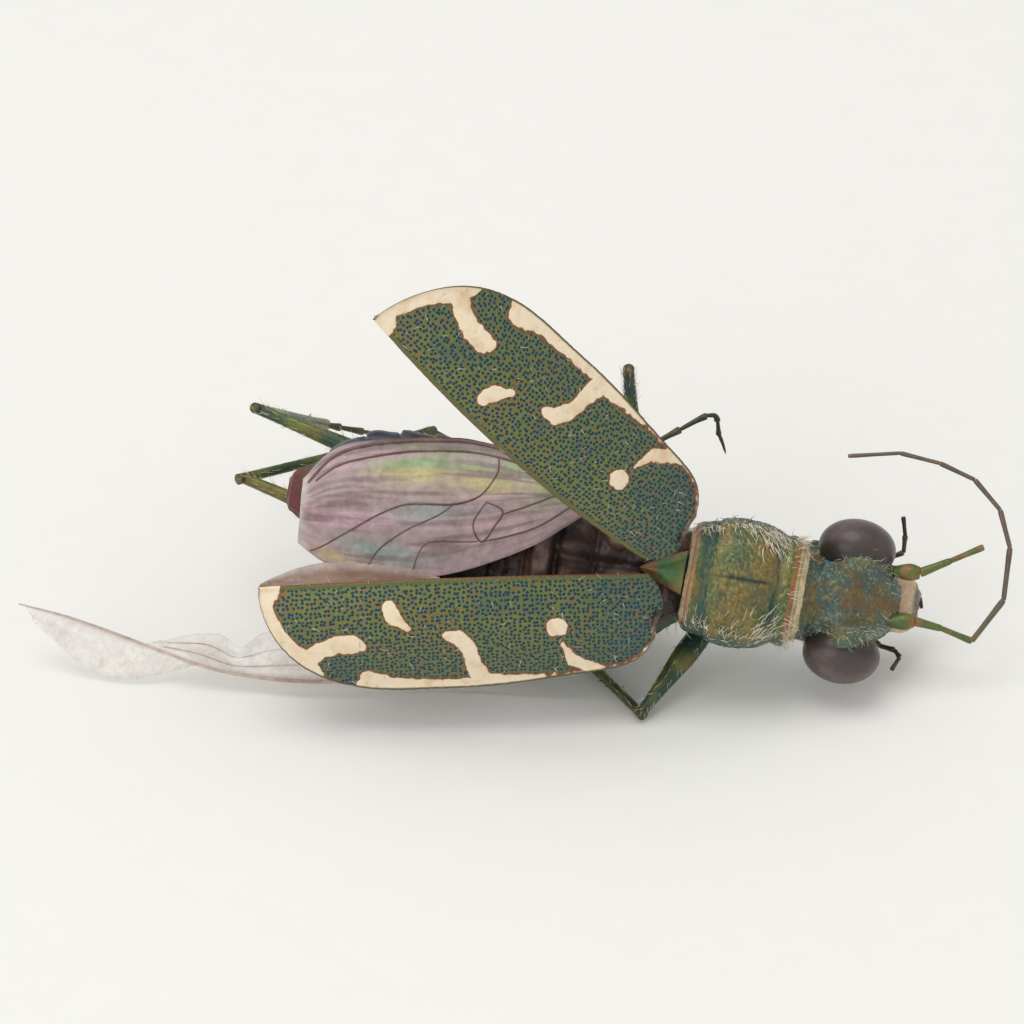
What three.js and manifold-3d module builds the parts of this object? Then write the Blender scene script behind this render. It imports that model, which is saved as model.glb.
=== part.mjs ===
// A tiger beetle, dead and dried, lying on its right side with its elytra open. Millimetres, +Z up.
import * as THREE from "three";
import { LoftGeometry } from "three/addons/geometries/LoftGeometry.js";
import { mergeVertices } from "three/addons/utils/BufferGeometryUtils.js";
import Module from "manifold-3d";

const wasm = await Module();
wasm.setup();

// Driving sizes, in millimetres and degrees.
const gap = 0.27; // between neighbours that touch in life
const mouthGap = 0.18; // the same, round the eyes and the mouth
const sheetThick = 0.5; // elytra and wing membranes
const elytronTip = 0.12; // width left at the point of an elytron
const veinHeight = 0.12; // how far a wing vein stands above its membrane
const feelerRadius = 0.25; // antennae, palps and the thin joints of the legs
const clawLength = 0.4;
const clawSpread = 0.26; // how far the tip of a claw stands to the side
const foldedCrown = 0.22; // how far the folded wing arches over the abdomen
const frontEdgeRadius = { root: 0.27, tip: 0.2 }; // the stout front edge of the spread wing
const elytronLength = 7.52;
const elytronWidth = 1.96;
const elytronCrown = 1.28; // how far the outer edge of an elytron lies below its suture
const elytronArch = 0.63; // how far the middle of the suture stands above a line through its ends

// The beetle's own frame has x forward, y to its left and z out of its back. Its origin is the middle
// of the back where the pronotum meets the elytra. The beetle lies rolled onto its right side, nose
// a little down in its own plane, with that origin raised above the floor.
const rollOntoSide = 50;
const noseDown = -10;
const raised = 3.16;
const standAcross = 3.15;
const standBack = -4.14;

const { PI, abs, cos, exp, max, min, sign, sin } = Math;
const rad = THREE.MathUtils.degToRad;
const lerp = THREE.MathUtils.lerp;
const at = (x, y, z) => new THREE.Vector3(x, y, z);
const lying = new THREE.Matrix4()
  .makeRotationFromEuler(new THREE.Euler(rad(rollOntoSide), 0, rad(noseDown)))
  .setPosition(0, 0, raised);
const standing = lying.clone().invert();

// A point given on the floor's own axes, from the spot below the beetle's origin, in its own frame.
const fromFloor = (x, y, z) => at(x, y, z).applyMatrix4(standing);

// A closed geometry as a solid, with its faces turned outwards.
function toSolid(geometry) {
  const bare = new THREE.BufferGeometry();
  bare.setAttribute("position", geometry.getAttribute("position"));
  bare.setIndex(geometry.getIndex());
  const merged = mergeVertices(bare, 1e-5);
  const corners = merged.index.array;
  const whole = [];
  for (let i = 0; i < corners.length; i += 3) {
    const [a, b, c] = corners.slice(i, i + 3);
    if (a !== b && b !== c && c !== a) whole.push([a, b, c]);
  }
  const build = (faces) =>
    new wasm.Manifold(
      new wasm.Mesh({
        numProp: 3,
        vertProperties: merged.attributes.position.array,
        triVerts: new Uint32Array(faces.flat()),
      }),
    );
  const made = build(whole);
  return made.volume() > 0 ? made : build(whole.map(([a, b, c]) => [a, c, b]));
}

// A skin over rings of points, drawn to a point at the middle of its first and last ring.
function skinOver(rings) {
  const middle = (ring) => {
    const centre = ring.reduce((sum, p) => sum.add(p), at(0, 0, 0)).divideScalar(ring.length);
    return ring.map(() => centre);
  };
  return toSolid(new LoftGeometry([middle(rings[0]), ...rings, middle(rings.at(-1))]));
}

const join = (...solids) => solids.reduce((all, next) => all.add(next));
const cut = (solid, ...tools) => tools.reduce((rest, tool) => rest.subtract(tool), solid);
const leastEdge = 0.004; // slivers that joins and cuts leave below this size are closed up
const largest = (solid) =>
  solid
    .simplify(leastEdge)
    .decompose()
    .reduce((best, piece) => (piece.volume() > best.volume() ? piece : best));

// Values between rows of numbers, along a smooth curve through them.
function between(rows, t) {
  const place = min(max(t, 0), 1) * (rows.length - 1);
  const i = min(Math.floor(place), rows.length - 2);
  const f = place - i;
  const [p, a, b, q] = [rows[max(i - 1, 0)], rows[i], rows[i + 1], rows[min(i + 2, rows.length - 1)]];
  return a.map((_, k) => {
    const bend = 2 * p[k] - 5 * a[k] + 4 * b[k] - q[k];
    const twist = 3 * (a[k] - b[k]) + q[k] - p[k];
    return a[k] + 0.5 * f * (b[k] - p[k] + f * (bend + f * twist));
  });
}

// One section across the body: x, middle y and z, half width, height above and below the middle.
function section([x, y, z, wide, up, down], grow, around, square) {
  const ring = [];
  for (let k = 0; k < around; k++) {
    const a = (2 * PI * k) / around;
    const across = sign(cos(a)) * abs(cos(a)) ** (2 / square);
    const rise = sign(sin(a)) * abs(sin(a)) ** (2 / square);
    const high = (rise > 0 ? up : down) + grow;
    ring.push(at(x, y + across * (wide + grow), z + rise * high));
  }
  return ring;
}

// A body piece through rows of section numbers, front to rear, swollen all round by grow.
function trunk(rows, { rings = 12, around = 24, square = 2.3, grow = 0 } = {}) {
  const sections = [];
  for (let i = 0; i < rings; i++) {
    const row = between(rows, i / (rings - 1));
    if (i === 0) row[0] += grow;
    if (i === rings - 1) row[0] -= grow;
    sections.push(section(row, grow, around, square));
  }
  return skinOver(sections);
}

// A round rod along points, with a radius at each.
function rod(points, radii, { sides = 8, grow = 0 } = {}) {
  const last = points.length - 1;
  const sections = points.map((point, i) => {
    const ahead = points[min(i + 1, last)].clone().sub(points[max(i - 1, 0)]).normalize();
    const out = at(0.31, -0.22, 0.92).cross(ahead).normalize();
    const over = ahead.clone().cross(out);
    const end = i === 0 ? -grow : i === last ? grow : 0;
    const middle = point.clone().addScaledVector(ahead, end);
    const ring = [];
    for (let k = 0; k < sides; k++) {
      const a = (2 * PI * (k + 0.5)) / sides;
      const spoke = out.clone().multiplyScalar(cos(a)).addScaledVector(over, sin(a));
      ring.push(middle.clone().addScaledVector(spoke, radii[i] + grow));
    }
    return ring;
  });
  return skinOver(sections);
}

// An ellipsoid.
function ball([x, y, z], [rx, ry, rz], { grow = 0, around = 16 } = {}) {
  const sphere = new THREE.SphereGeometry(1, around, around * 0.625);
  sphere.scale(rx + grow, ry + grow, rz + grow);
  sphere.translate(x, y, z);
  return toSolid(sphere);
}

// A thin plate over a surface place(u, v), as thick as thick says, with ridge(u, v) raised on its
// upper face. Both faces are split into the same triangles.
function plate(us, vs, place, { thick = sheetThick, grow = 0, ridge = () => 0, over = 1 } = {}) {
  const step = 1e-3;
  const upper = [];
  const lower = [];
  for (const u of us)
    for (const v of vs) {
      const here = place(u, v);
      const along = place(u + step, v).sub(place(u - step, v));
      const across = place(u, v + step).sub(place(u, v - step));
      const out = along.clone().cross(across).normalize().multiplyScalar(over);
      const sideways = at(0, 0, 0);
      if (grow) {
        if (v === vs[0]) sideways.addScaledVector(across.clone().normalize(), -grow);
        if (v === vs.at(-1)) sideways.addScaledVector(across.clone().normalize(), grow);
        if (u === us[0]) sideways.addScaledVector(along.clone().normalize(), -grow);
        if (u === us.at(-1)) sideways.addScaledVector(along.clone().normalize(), grow);
      }
      here.add(sideways);
      upper.push(here.clone().addScaledVector(out, grow + ridge(u, v)));
      lower.push(here.clone().addScaledVector(out, -thick - grow));
    }
  const [rows, columns] = [us.length, vs.length];
  const count = rows * columns;
  const faces = [];
  const quad = (a, b, c, d) => faces.push(a, b, c, a, c, d);
  for (let i = 0; i + 1 < rows; i++)
    for (let j = 0; j + 1 < columns; j++) {
      const a = i * columns + j;
      quad(a, a + 1, a + columns + 1, a + columns);
      faces.push(count + a, count + a + columns + 1, count + a + 1);
      faces.push(count + a, count + a + columns, count + a + columns + 1);
    }
  const wall = (a, b) => quad(b, a, count + a, count + b);
  for (let j = 0; j + 1 < columns; j++) {
    wall(j, j + 1);
    wall((rows - 1) * columns + j + 1, (rows - 1) * columns + j);
  }
  for (let i = 0; i + 1 < rows; i++) {
    wall((i + 1) * columns, i * columns);
    wall(i * columns + columns - 1, (i + 1) * columns + columns - 1);
  }
  const geometry = new THREE.BufferGeometry();
  const points = [...upper, ...lower].flatMap((p) => p.toArray());
  geometry.setAttribute("position", new THREE.Float32BufferAttribute(points, 3));
  geometry.setIndex(faces);
  return toSolid(geometry);
}

const evenly = (count) => Array.from({ length: count }, (_, i) => i / (count - 1));

// Body sections: x, y, z of the middle, half width, height above, height below.
const pronotumRows = [
  [2.2, 0.14, -1.22, 0.98, 0.82, 0.85],
  [2.02, 0.14, -1.2, 1.08, 0.92, 0.92],
  [1.85, 0.14, -1.18, 1.06, 0.9, 0.95],
  [1.5, 0.13, -1.12, 1.2, 1.0, 1.0],
  [1.0, 0.12, -1.08, 1.24, 1.02, 1.0],
  [0.55, 0.11, -1.05, 1.14, 0.96, 0.95],
  [0.36, 0.1, -1.03, 1.02, 0.9, 0.9],
  [0.12, 0.1, -1.02, 1.02, 0.9, 0.88],
];
const headRows = [
  [4.18, 0.3, -2.08, 0.42, 0.42, 0.42],
  [4.0, 0.29, -2.06, 0.56, 0.54, 0.55],
  [3.7, 0.26, -2.0, 0.66, 0.66, 0.64],
  [3.2, 0.2, -1.94, 0.66, 0.7, 0.72],
  [2.75, 0.17, -1.85, 0.76, 0.68, 0.72],
  [2.47, 0.15, -1.75, 0.84, 0.66, 0.68],
];
const thoraxRows = [
  [-0.15, 0.06, -1.25, 1.02, 0.8, 0.85],
  [-0.6, 0.03, -1.4, 1.4, 0.92, 1.05],
  [-1.3, 0, -1.52, 1.72, 1.0, 1.1],
  [-2.2, 0, -1.58, 1.9, 1.05, 1.1],
  [-3.0, 0.04, -1.6, 1.86, 1.02, 1.05],
  [-3.58, 0.08, -1.62, 1.7, 0.86, 0.9],
];
const abdomenRows = [
  [-3.86, 0.12, -1.68, 1.72, 0.86, 0.86],
  [-4.8, 0.22, -1.7, 1.74, 0.9, 0.88],
  [-5.8, 0.35, -1.72, 1.56, 0.9, 0.86],
  [-6.7, 0.45, -1.74, 1.26, 0.82, 0.8],
  [-7.3, 0.5, -1.76, 0.82, 0.6, 0.6],
  [-7.8, 0.5, -1.8, 0.34, 0.28, 0.3],
];

const pronotum = (grow = 0) => trunk(pronotumRows, { rings: 13, around: 26, grow });
const head = (grow = 0) => trunk(headRows, { rings: 10, around: 24, grow });
const thorax = (grow = 0) => trunk(thoraxRows, { rings: 10, around: 26, grow });

// The scutellum, a small wedge between the bases of the elytra.
const scutellum = () =>
  rod([at(-0.2, 0.05, -0.42), at(-0.4, 0.03, -0.42), at(-0.72, 0, -0.5)], [0.34, 0.26, 0.08]);

// The abdomen's rings overlap like tiles: each widens towards its rear edge and the next starts in it.
const abdomenRings = 6;
function abdomen(grow = 0) {
  const sections = [];
  for (let ring = 0; ring < abdomenRings; ring++)
    for (const [part, swell] of [[0.04, 0.96], [0.5, 1], [0.94, 1.03]]) {
      const row = between(abdomenRows, (ring + part) / abdomenRings);
      const first = ring === 0 && part < 0.1;
      const final = ring === abdomenRings - 1 && part > 0.9;
      row[0] += first ? grow : final ? -grow : 0;
      sections.push(section(row.map((n, k) => (k > 2 ? n * swell : n)), grow, 24, 2.3));
    }
  return skinOver(sections);
}

const eyeSize = [0.74, 0.56, 0.64];
const eyePlaces = { left: [3.23, 1.22, -1.62], right: [3.27, -0.84, -1.62] };
const eye = (side, grow = 0) => ball(eyePlaces[side], eyeSize, { grow });

// The labrum, a pale scalloped lip over the mandibles.
const labrumRows = [
  [4.62, 0.34, -2.3, 0.16, 0.1, 0.1],
  [4.55, 0.34, -2.3, 0.34, 0.14, 0.14],
  [4.35, 0.33, -2.28, 0.42, 0.17, 0.17],
  [4.05, 0.31, -2.24, 0.42, 0.18, 0.18],
];
const labrum = (grow = 0) => trunk(labrumRows, { rings: 6, around: 14, grow });

const mandiblePoints = {
  left: [at(3.8, 0.72, -2.8), at(4.3, 0.85, -2.86), at(4.66, 0.6, -2.88), at(4.78, 0.42, -2.9)],
  right: [at(3.85, -0.1, -2.82), at(4.34, -0.18, -2.9), at(4.66, 0.02, -2.9), at(4.8, 0.16, -2.9)],
};
const mandible = (side, grow = 0) => rod(mandiblePoints[side], [0.25, 0.22, 0.13, 0.05], { grow });

const palpPoints = {
  left: [at(3.75, 1.1, -2.66), at(4.15, 1.35, -2.5), at(4.12, 1.7, -2.36), at(4.02, 2.02, -2.26)],
  right: [at(3.8, -0.52, -2.66), at(4.3, -0.5, -2.5), at(4.42, -0.62, -2.46), at(4.3, -0.9, -2.42)],
};
const palp = (side, grow = 0) => rod(palpPoints[side], [0.18, 0.22, 0.22, 0.16], { sides: 7, grow });

// Antennae, jointed, the left one broken off short.
const antennaPoints = {
  left: [at(4.0, 0.92, -1.68), at(4.5, 0.97, -1.68), at(5.05, 1.3, -1.6), at(5.62, 1.66, -1.5)],
  right: [
    at(4.05, -0.06, -1.74), at(4.55, 0.04, -1.78), at(5.1, 0, -1.88), at(5.72, -0.13, -2),
    at(6.19, 0.76, -2), at(6.14, 1.78, -2), at(5.83, 2.47, -2), at(5.25, 2.96, -2),
    at(4.53, 3.16, -2), at(3.74, 3.22, -2), at(2.76, 2.99, -2),
  ],
};
function antenna(side, grow = 0) {
  const joints = antennaPoints[side];
  const points = [joints[0]];
  const radii = [feelerRadius];
  for (let i = 1; i < joints.length; i++) {
    const thin = side === "right" ? lerp(1, 0.72, i / (joints.length - 1)) : 1;
    points.push(joints[i - 1].clone().lerp(joints[i], 0.3), joints[i]);
    radii.push(feelerRadius * 0.94 * thin, feelerRadius * 1.04 * thin);
  }
  return rod(points, radii, { sides: 7, grow });
}

// An elytron in its own frame: x from its base towards its apex, y out from the suture, z upwards.
// Its outer edge rounds in from the shoulder at the base, and over the rear two fifths to the apex.
function elytronWide(u) {
  const shoulder = 1 - 0.5 * exp(-max(u, 0) / 0.035);
  const swell = 0.93 - 0.07 * cos(PI * min(2 * u, 1));
  const apex = u < 0.6 ? 1 : max(0, 1 - ((u - 0.6) / 0.4) ** 2.7) ** 0.48;
  return elytronWidth * shoulder * swell * apex;
}
function elytronLocal(u, v) {
  const y = max(elytronTip, elytronWide(u)) * v;
  const x = elytronLength * u - 0.2 * sin((PI / 2) * v) * exp(-9 * u);
  const z = elytronArch * 4 * u * (1 - u) - elytronCrown * (max(y, 0) / elytronWidth) ** 2.3;
  return at(x, y, z);
}

// How each elytron hinges: where its suture starts, how far it swings out, lifts and rolls.
const elytronSeats = {
  left: { side: 1, from: at(-0.65, 0.09, 0.2), splay: 29.6, lift: 25.6, roll: 29 },
  right: { side: -1, from: at(-0.56, -0.07, 0), splay: 12, lift: 0, roll: 0 },
};
function elytronPlace(name, u, v) {
  const { side, from, splay, lift, roll } = elytronSeats[name];
  const turn = new THREE.Euler(rad(roll), -rad(lift), rad(splay), "ZYX");
  const p = elytronLocal(u, v).applyEuler(turn);
  return at(from.x - p.x, from.y + side * p.y, from.z + p.z);
}
function elytron(name, grow = 0) {
  const { side } = elytronSeats[name];
  const place = (u, v) => elytronPlace(name, u, v);
  const rows = evenly(17).map((t) => lerp(t, 0.5 - 0.5 * cos(PI * t), 0.75));
  return plate(rows, evenly(9), place, { grow, over: -side });
}

// The left hind wing, folded back over the abdomen. Rows run from its root to its fold.
const foldedLeading = [
  [-2.38, 1.34, 0], [-3.27, 1.75, -0.5], [-4.4, 1.92, -0.78], [-5.8, 1.72, -0.8],
  [-6.9, 1.34, -0.7], [-7.48, 0.6, -0.5],
];
const foldedTrailing = [
  [-2.1, 0.75, 0.05], [-3.0, 0, -0.12], [-4.35, -0.72, -0.32], [-5.5, -0.98, -0.38],
  [-6.67, -0.95, -0.4], [-7.35, -0.62, -0.45],
];
function foldedPlace(u, v) {
  const [a, b] = [between(foldedLeading, u), between(foldedTrailing, u)];
  const crown = foldedCrown * sin(PI * min(max(v, 0), 1));
  return at(lerp(a[0], b[0], v), lerp(a[1], b[1], v), lerp(a[2], b[2], v) + crown);
}

// The right hind wing, stretched out behind on the floor: its front edge, the part of the membrane
// that stands above that edge towards the root, and the part that hangs below it towards the tip.
const spreadFront = [
  [-2.34, 0.24, 0.65], [-4.63, 0.47, 0.36], [-7.02, 0.41, 0.34], [-8.28, 0.55, 0.36],
  [-9.3, 0.7, 0.52], [-10.37, 1.03, 0.79], [-11.77, 1.48, 1.09], [-12.81, 1.8, 1.19],
];
const spreadAbove = [
  [-3.3, 0.62, 0.82], [-4.63, 1.23, 0.8], [-6.59, 1.48, 0.95], [-7.94, 1.47, 0.76],
  [-8.52, 1.2, 0.58], [-9.01, 1.45, 0.74], [-10.06, 1.12, 0.8],
];
const spreadBelow = [
  [-9.5, 0.78, 0.4], [-10.0, 0.84, 0.22], [-10.8, 0.8, 0.12], [-11.5, 0.98, 0.26],
  [-12.15, 1.34, 0.68], [-12.5, 1.6, 0.9],
];
function sheetBetween(front, frontFrom, frontTo, edge) {
  return (u, v) => {
    const a = between(front, lerp(frontFrom, frontTo, u));
    const b = between(edge, u);
    return fromFloor(...a.map((n, k) => lerp(n, b[k], v)));
  };
}

// Vein ridges stand at these shares of the way across a membrane.
const veinShares = [0.22, 0.5, 0.76];
const veinHalf = 0.045;
const veinRows = [0, ...veinShares.flatMap((v) => [v - veinHalf, v, v + veinHalf]), 1];
const veinRidge = (u, v) => (veinShares.includes(v) ? veinHeight : 0);

const legHips = {
  fore: { left: at(0.8, 0.62, -2.5), right: at(0.8, -0.4, -2.5) },
  middle: { left: at(-0.95, 0.75, -2.95), right: at(-0.95, -0.75, -2.95) },
  hind: { left: at(-3.2, 0.7, -3.05), right: at(-3.2, -0.7, -3.05) },
};
// Each leg's knee, ankle and the bends of its foot.
const legJoints = {
  fore_left: [fromFloor(1.63, 3.95, 0.75), fromFloor(3.5, 5.3, 0.26), fromFloor(1.3, 5.4, 0.24)],
  fore_right: [fromFloor(-0.78, -0.42, 0.26), fromFloor(-2.1, 1.9, 0.25), fromFloor(-4.2, 3.3, 0.24)],
  middle_left: [
    fromFloor(-1, 4.05, 5.11), fromFloor(-0.9, 5.5, 2.12),
    fromFloor(-0.11, 5.91, 2.36), fromFloor(0.69, 6.29, 2.56), fromFloor(0.83, 6.32, 2.08),
  ],
  middle_right: [fromFloor(-2, 4.65, 0.42), fromFloor(-4.9, 5.2, 0.26), fromFloor(-6.4, 3.4, 0.24)],
  hind_left: [at(-8.7, 2.02, -3.12), fromFloor(-7, 8.3, 1), fromFloor(-5, 8.9, 0.24)],
  hind_right: [at(-8.72, 0.64, -3.15), fromFloor(-4.8, 6.7, 1.88), fromFloor(-1.2, 5.6, 0.24)],
};
const footJoints = 5;

function leg(pair, side) {
  const hip = legHips[pair][side];
  const [knee, ankle, ...bends] = legJoints[pair + "_" + side];
  const along = (a, b, t) => a.clone().lerp(b, t);
  const coxa = ball(hip.toArray(), [0.42, 0.34, 0.34], { around: 8 });
  const femur = rod(
    [hip, along(hip, knee, 0.18), along(hip, knee, 0.45), along(hip, knee, 0.8), knee],
    [0.25, 0.3, 0.34, 0.27, 0.25],
  );
  const tibia = rod(
    [along(knee, ankle, -0.04), along(knee, ankle, 0.3), along(knee, ankle, 0.85), ankle],
    [0.26, 0.24, 0.25, 0.28],
  );
  const route = [ankle, ...bends];
  const points = [];
  const radii = [];
  for (let i = 0; i <= 2 * footJoints; i++) {
    const place = (i / (2 * footJoints)) * (route.length - 1);
    const k = min(Math.floor(place), route.length - 2);
    points.push(along(route[k], route[k + 1], place - k));
    radii.push(feelerRadius * (i % 2 ? 0.92 : 1.02) * lerp(1, 0.86, i / (2 * footJoints)));
  }
  const foot = rod(points, radii, { sides: 7 });
  const end = route.at(-1);
  const ahead = end.clone().sub(route.at(-2)).normalize();
  const aside = ahead.clone().cross(fromFloor(0, 0, 1).sub(fromFloor(0, 0, 0))).normalize();
  const claws = [-1, 1].map((way) => {
    const root = end.clone().addScaledVector(ahead, -0.12);
    const tip = end.clone().addScaledVector(ahead, clawLength).addScaledVector(aside, way * clawSpread);
    return rod([root, along(root, tip, 0.5), tip], [0.16, 0.13, 0.05], { sides: 5 });
  });
  return join(coxa, femur, tibia, foot, ...claws);
}

// The block below the floor, in the beetle's own frame.
const belowFloor = toSolid(
  new THREE.BoxGeometry(60, 60, 10).translate(0, 0, -5).applyMatrix4(standing),
);

const colours = {
  metal: { color: 0x3d4a35, roughness: 0.4, metalness: 0.6 },
  elytra: { color: 0x5a5436, roughness: 0.5, metalness: 0.35 },
  belly: { color: 0x2a2f45, roughness: 0.4, metalness: 0.4 },
  horn: { color: 0x6b4a30, roughness: 0.5, metalness: 0 },
  lip: { color: 0xd8c9a4, roughness: 0.5, metalness: 0 },
  eye: { color: 0x4a3038, roughness: 0.2, metalness: 0 },
  membrane: { color: 0xb8a0a0, roughness: 0.3, metalness: 0 },
};

const beetle = new THREE.Group();
beetle.rotation.set(rad(rollOntoSide), 0, rad(noseDown));
beetle.position.set(standAcross, standBack, raised);

function add(name, solid, look) {
  const { vertProperties, triVerts } = largest(solid).getMesh();
  const geometry = new THREE.BufferGeometry();
  geometry.setAttribute("position", new THREE.BufferAttribute(vertProperties, 3));
  geometry.setIndex(new THREE.BufferAttribute(triVerts, 1));
  geometry.computeVertexNormals();
  const mesh = new THREE.Mesh(geometry, new THREE.MeshStandardMaterial(colours[look]));
  mesh.name = name;
  beetle.add(mesh);
}

const elytraRoom = join(elytron("left", gap), elytron("right", gap));
const trunkRoom = join(pronotum(gap), thorax(gap), abdomen(gap));
const headRoom = head(mouthGap);
const eyeRoom = join(eye("left", mouthGap), eye("right", mouthGap));

add("head", cut(head(), elytraRoom), "metal");
add("pronotum", pronotum(), "metal");
add("thorax", cut(join(thorax(), scutellum()), elytraRoom), "metal");
add("abdomen", cut(abdomen(), elytraRoom), "belly");
add("labrum", cut(labrum(), headRoom), "lip");
for (const side of ["left", "right"]) {
  add("eye_" + side, cut(eye(side), headRoom, pronotum(gap)), "eye");
  add("mandible_" + side, cut(mandible(side), headRoom, labrum(mouthGap)), "horn");
  add("palp_" + side, cut(palp(side), headRoom, eyeRoom, mandible(side, mouthGap)), "horn");
  add("antenna_" + side, cut(antenna(side), headRoom, eyeRoom), "horn");
  add("elytron_" + side, cut(elytron(side), pronotum(gap)), "elytra");
}

const folded = (grow) =>
  plate(evenly(15), veinRows, foldedPlace, { ridge: veinRidge, grow, over: -1 });
add("hind_wing_left", cut(folded(0), elytraRoom, trunkRoom), "membrane");

const above = sheetBetween(spreadFront, 0, 5 / 7, spreadAbove);
const below = sheetBetween(spreadFront, 4 / 7, 0.96, spreadBelow);
const frontEdge = (grow) => {
  const shares = evenly(22);
  const points = shares.map((t) => fromFloor(...between(spreadFront, t)));
  const radii = shares.map((t) => lerp(frontEdgeRadius.root, frontEdgeRadius.tip, t));
  return rod(points, radii, { grow });
};
const spread = (grow) =>
  join(
    frontEdge(grow),
    plate(evenly(17), veinRows, above, { ridge: veinRidge, grow, over: -1 }),
    plate(evenly(11), veinRows, below, { ridge: veinRidge, grow, over: 1 }),
  );
add("hind_wing_right", cut(spread(0), elytraRoom, trunkRoom, belowFloor), "membrane");

const wingRoom = join(folded(gap), spread(gap));
for (const pair of ["fore", "middle", "hind"])
  for (const side of ["left", "right"]) {
    const solid = cut(leg(pair, side), trunkRoom, elytraRoom, wingRoom, headRoom, belowFloor);
    add("leg_" + pair + "_" + side, solid, "metal");
  }

export default beetle;
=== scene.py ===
# A tiger beetle lying dead on its right side with its elytra open.
# The forms are worked out in millimetres in the beetle's own frame: x forward, y to its left, z out of
# its back. stagePoints takes them to metres in the frame of the solids.
import bpy
import math
import numpy as np
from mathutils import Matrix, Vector, noise


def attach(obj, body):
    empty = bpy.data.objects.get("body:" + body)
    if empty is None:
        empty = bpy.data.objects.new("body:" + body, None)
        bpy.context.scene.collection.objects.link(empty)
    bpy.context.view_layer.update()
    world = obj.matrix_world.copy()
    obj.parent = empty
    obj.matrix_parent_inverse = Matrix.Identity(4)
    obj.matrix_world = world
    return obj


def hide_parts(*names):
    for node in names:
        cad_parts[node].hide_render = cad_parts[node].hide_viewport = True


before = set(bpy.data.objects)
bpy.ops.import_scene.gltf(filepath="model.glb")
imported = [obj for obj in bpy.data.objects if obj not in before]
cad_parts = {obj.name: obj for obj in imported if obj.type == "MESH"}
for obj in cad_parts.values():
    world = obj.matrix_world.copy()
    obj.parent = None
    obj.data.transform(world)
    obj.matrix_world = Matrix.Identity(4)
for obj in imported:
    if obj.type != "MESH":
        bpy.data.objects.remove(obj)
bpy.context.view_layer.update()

millimetre = 0.001
pose = {"roll": 50, "yaw": -10, "place": (3.15, -4.14, 3.16)}


def turnAbout(axis, degrees):
    first, second = (axis + 1) % 3, (axis + 2) % 3
    matrix = np.eye(3)
    matrix[first, first] = matrix[second, second] = math.cos(math.radians(degrees))
    matrix[second, first] = math.sin(math.radians(degrees))
    matrix[first, second] = -matrix[second, first]
    return matrix


turn = turnAbout(0, pose["roll"]) @ turnAbout(2, pose["yaw"])
seat = np.array(pose["place"])
floorUp = turn.T @ np.array([0, 0, 1.0])


def standing(points):  # from the beetle's frame to the frame of the solids, in millimetres
    return np.asarray(points, float) @ turn.T + seat


def stagePoints(points):
    return standing(points) * millimetre


def fromFloor(x, y, z):  # x and y from the spot below the beetle's origin, z above the floor
    return turn.T @ (np.array([x, y, z - seat[2]], float))


def keptAbove(points, least):  # points lower than this over the floor are lifted to it
    return points + np.maximum(least - standing(points)[:, 2], 0)[:, None] * floorUp


# Helpers for numbers and colours

def between(rows, t):  # a smooth curve through rows of numbers, at each t from 0 to 1
    rows = np.asarray(rows, float)
    last = len(rows) - 1
    place = np.clip(np.asarray(t, float), 0, 1) * last
    i = np.minimum(place.astype(int), last - 1)
    f = (place - i)[..., None]
    p, a, b, q = rows[np.maximum(i - 1, 0)], rows[i], rows[i + 1], rows[np.minimum(i + 2, last)]
    bend, twist = 2 * p - 5 * a + 4 * b - q, 3 * (a - b) + q - p
    return a + 0.5 * f * (b - p + f * (bend + f * twist))


def ease(value, low, high):
    t = np.clip((np.asarray(value, float) - low) / (high - low), 0, 1)
    return t * t * (3 - 2 * t)


def bump(value, middle, wide):  # 1 at the middle, falling to 0 over about twice the width
    return np.exp(-((np.asarray(value, float) - middle) / wide) ** 2)


def unit(vectors):
    return vectors / np.linalg.norm(vectors, axis=-1, keepdims=True)


def twice(values):
    return np.concatenate([values, values])


def srgb(*values):
    c = np.array(values, float) / 255
    return np.where(c <= 0.04045, c / 12.92, ((c + 0.055) / 1.055) ** 2.4)


def colour4(*values):
    return (*srgb(*values), 1)


def painted(look, ground, layers):  # one colour with others laid over it in turn, each by its mask
    tint = np.tile(look[ground], (len(layers[0][1]), 1))
    for name, mask in layers:
        share = np.asarray(mask, float)[:, None]
        tint = tint * (1 - share) + look[name] * share
    return tint


seedShift = (17.3, 5.1, -9.7)


def cloud(points, size, octaves=3, seed=0.0, stretch=(1, 1, 1)):  # noise from about -1 to 1
    shift = Vector([seed * part for part in seedShift])
    scaled = np.asarray(points, float) / size * np.asarray(stretch, float)
    return np.array([noise.fractal(Vector(p) + shift, 1.0, 2.0, octaves) for p in scaled])


# Helpers for meshes

def gridFaces(rows, columns, closed=False):
    i, j = np.meshgrid(np.arange(rows - 1), np.arange(columns if closed else columns - 1), indexing="ij")
    k = (j + 1) % columns
    quads = np.stack([i * columns + j, i * columns + k, (i + 1) * columns + k, (i + 1) * columns + j], -1)
    return quads.reshape(-1, 4).tolist()


sampling = {"from": 12000, "faces": 4000}  # a mesh of this many faces is judged by fewer of them


def turnedOut(points, faces):  # faces that point outwards
    total = 0.0
    step = max(1, len(faces) // sampling["faces"]) if len(faces) > sampling["from"] else 1
    for face in faces[::step]:
        a, b, c = points[face[0]], points[face[1]], points[face[2]]
        total += np.dot(a, np.cross(b, c))
        if len(face) == 4:
            total += np.dot(a, np.cross(c, points[face[3]]))
    return faces if total > 0 else [face[::-1] for face in faces]


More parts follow.
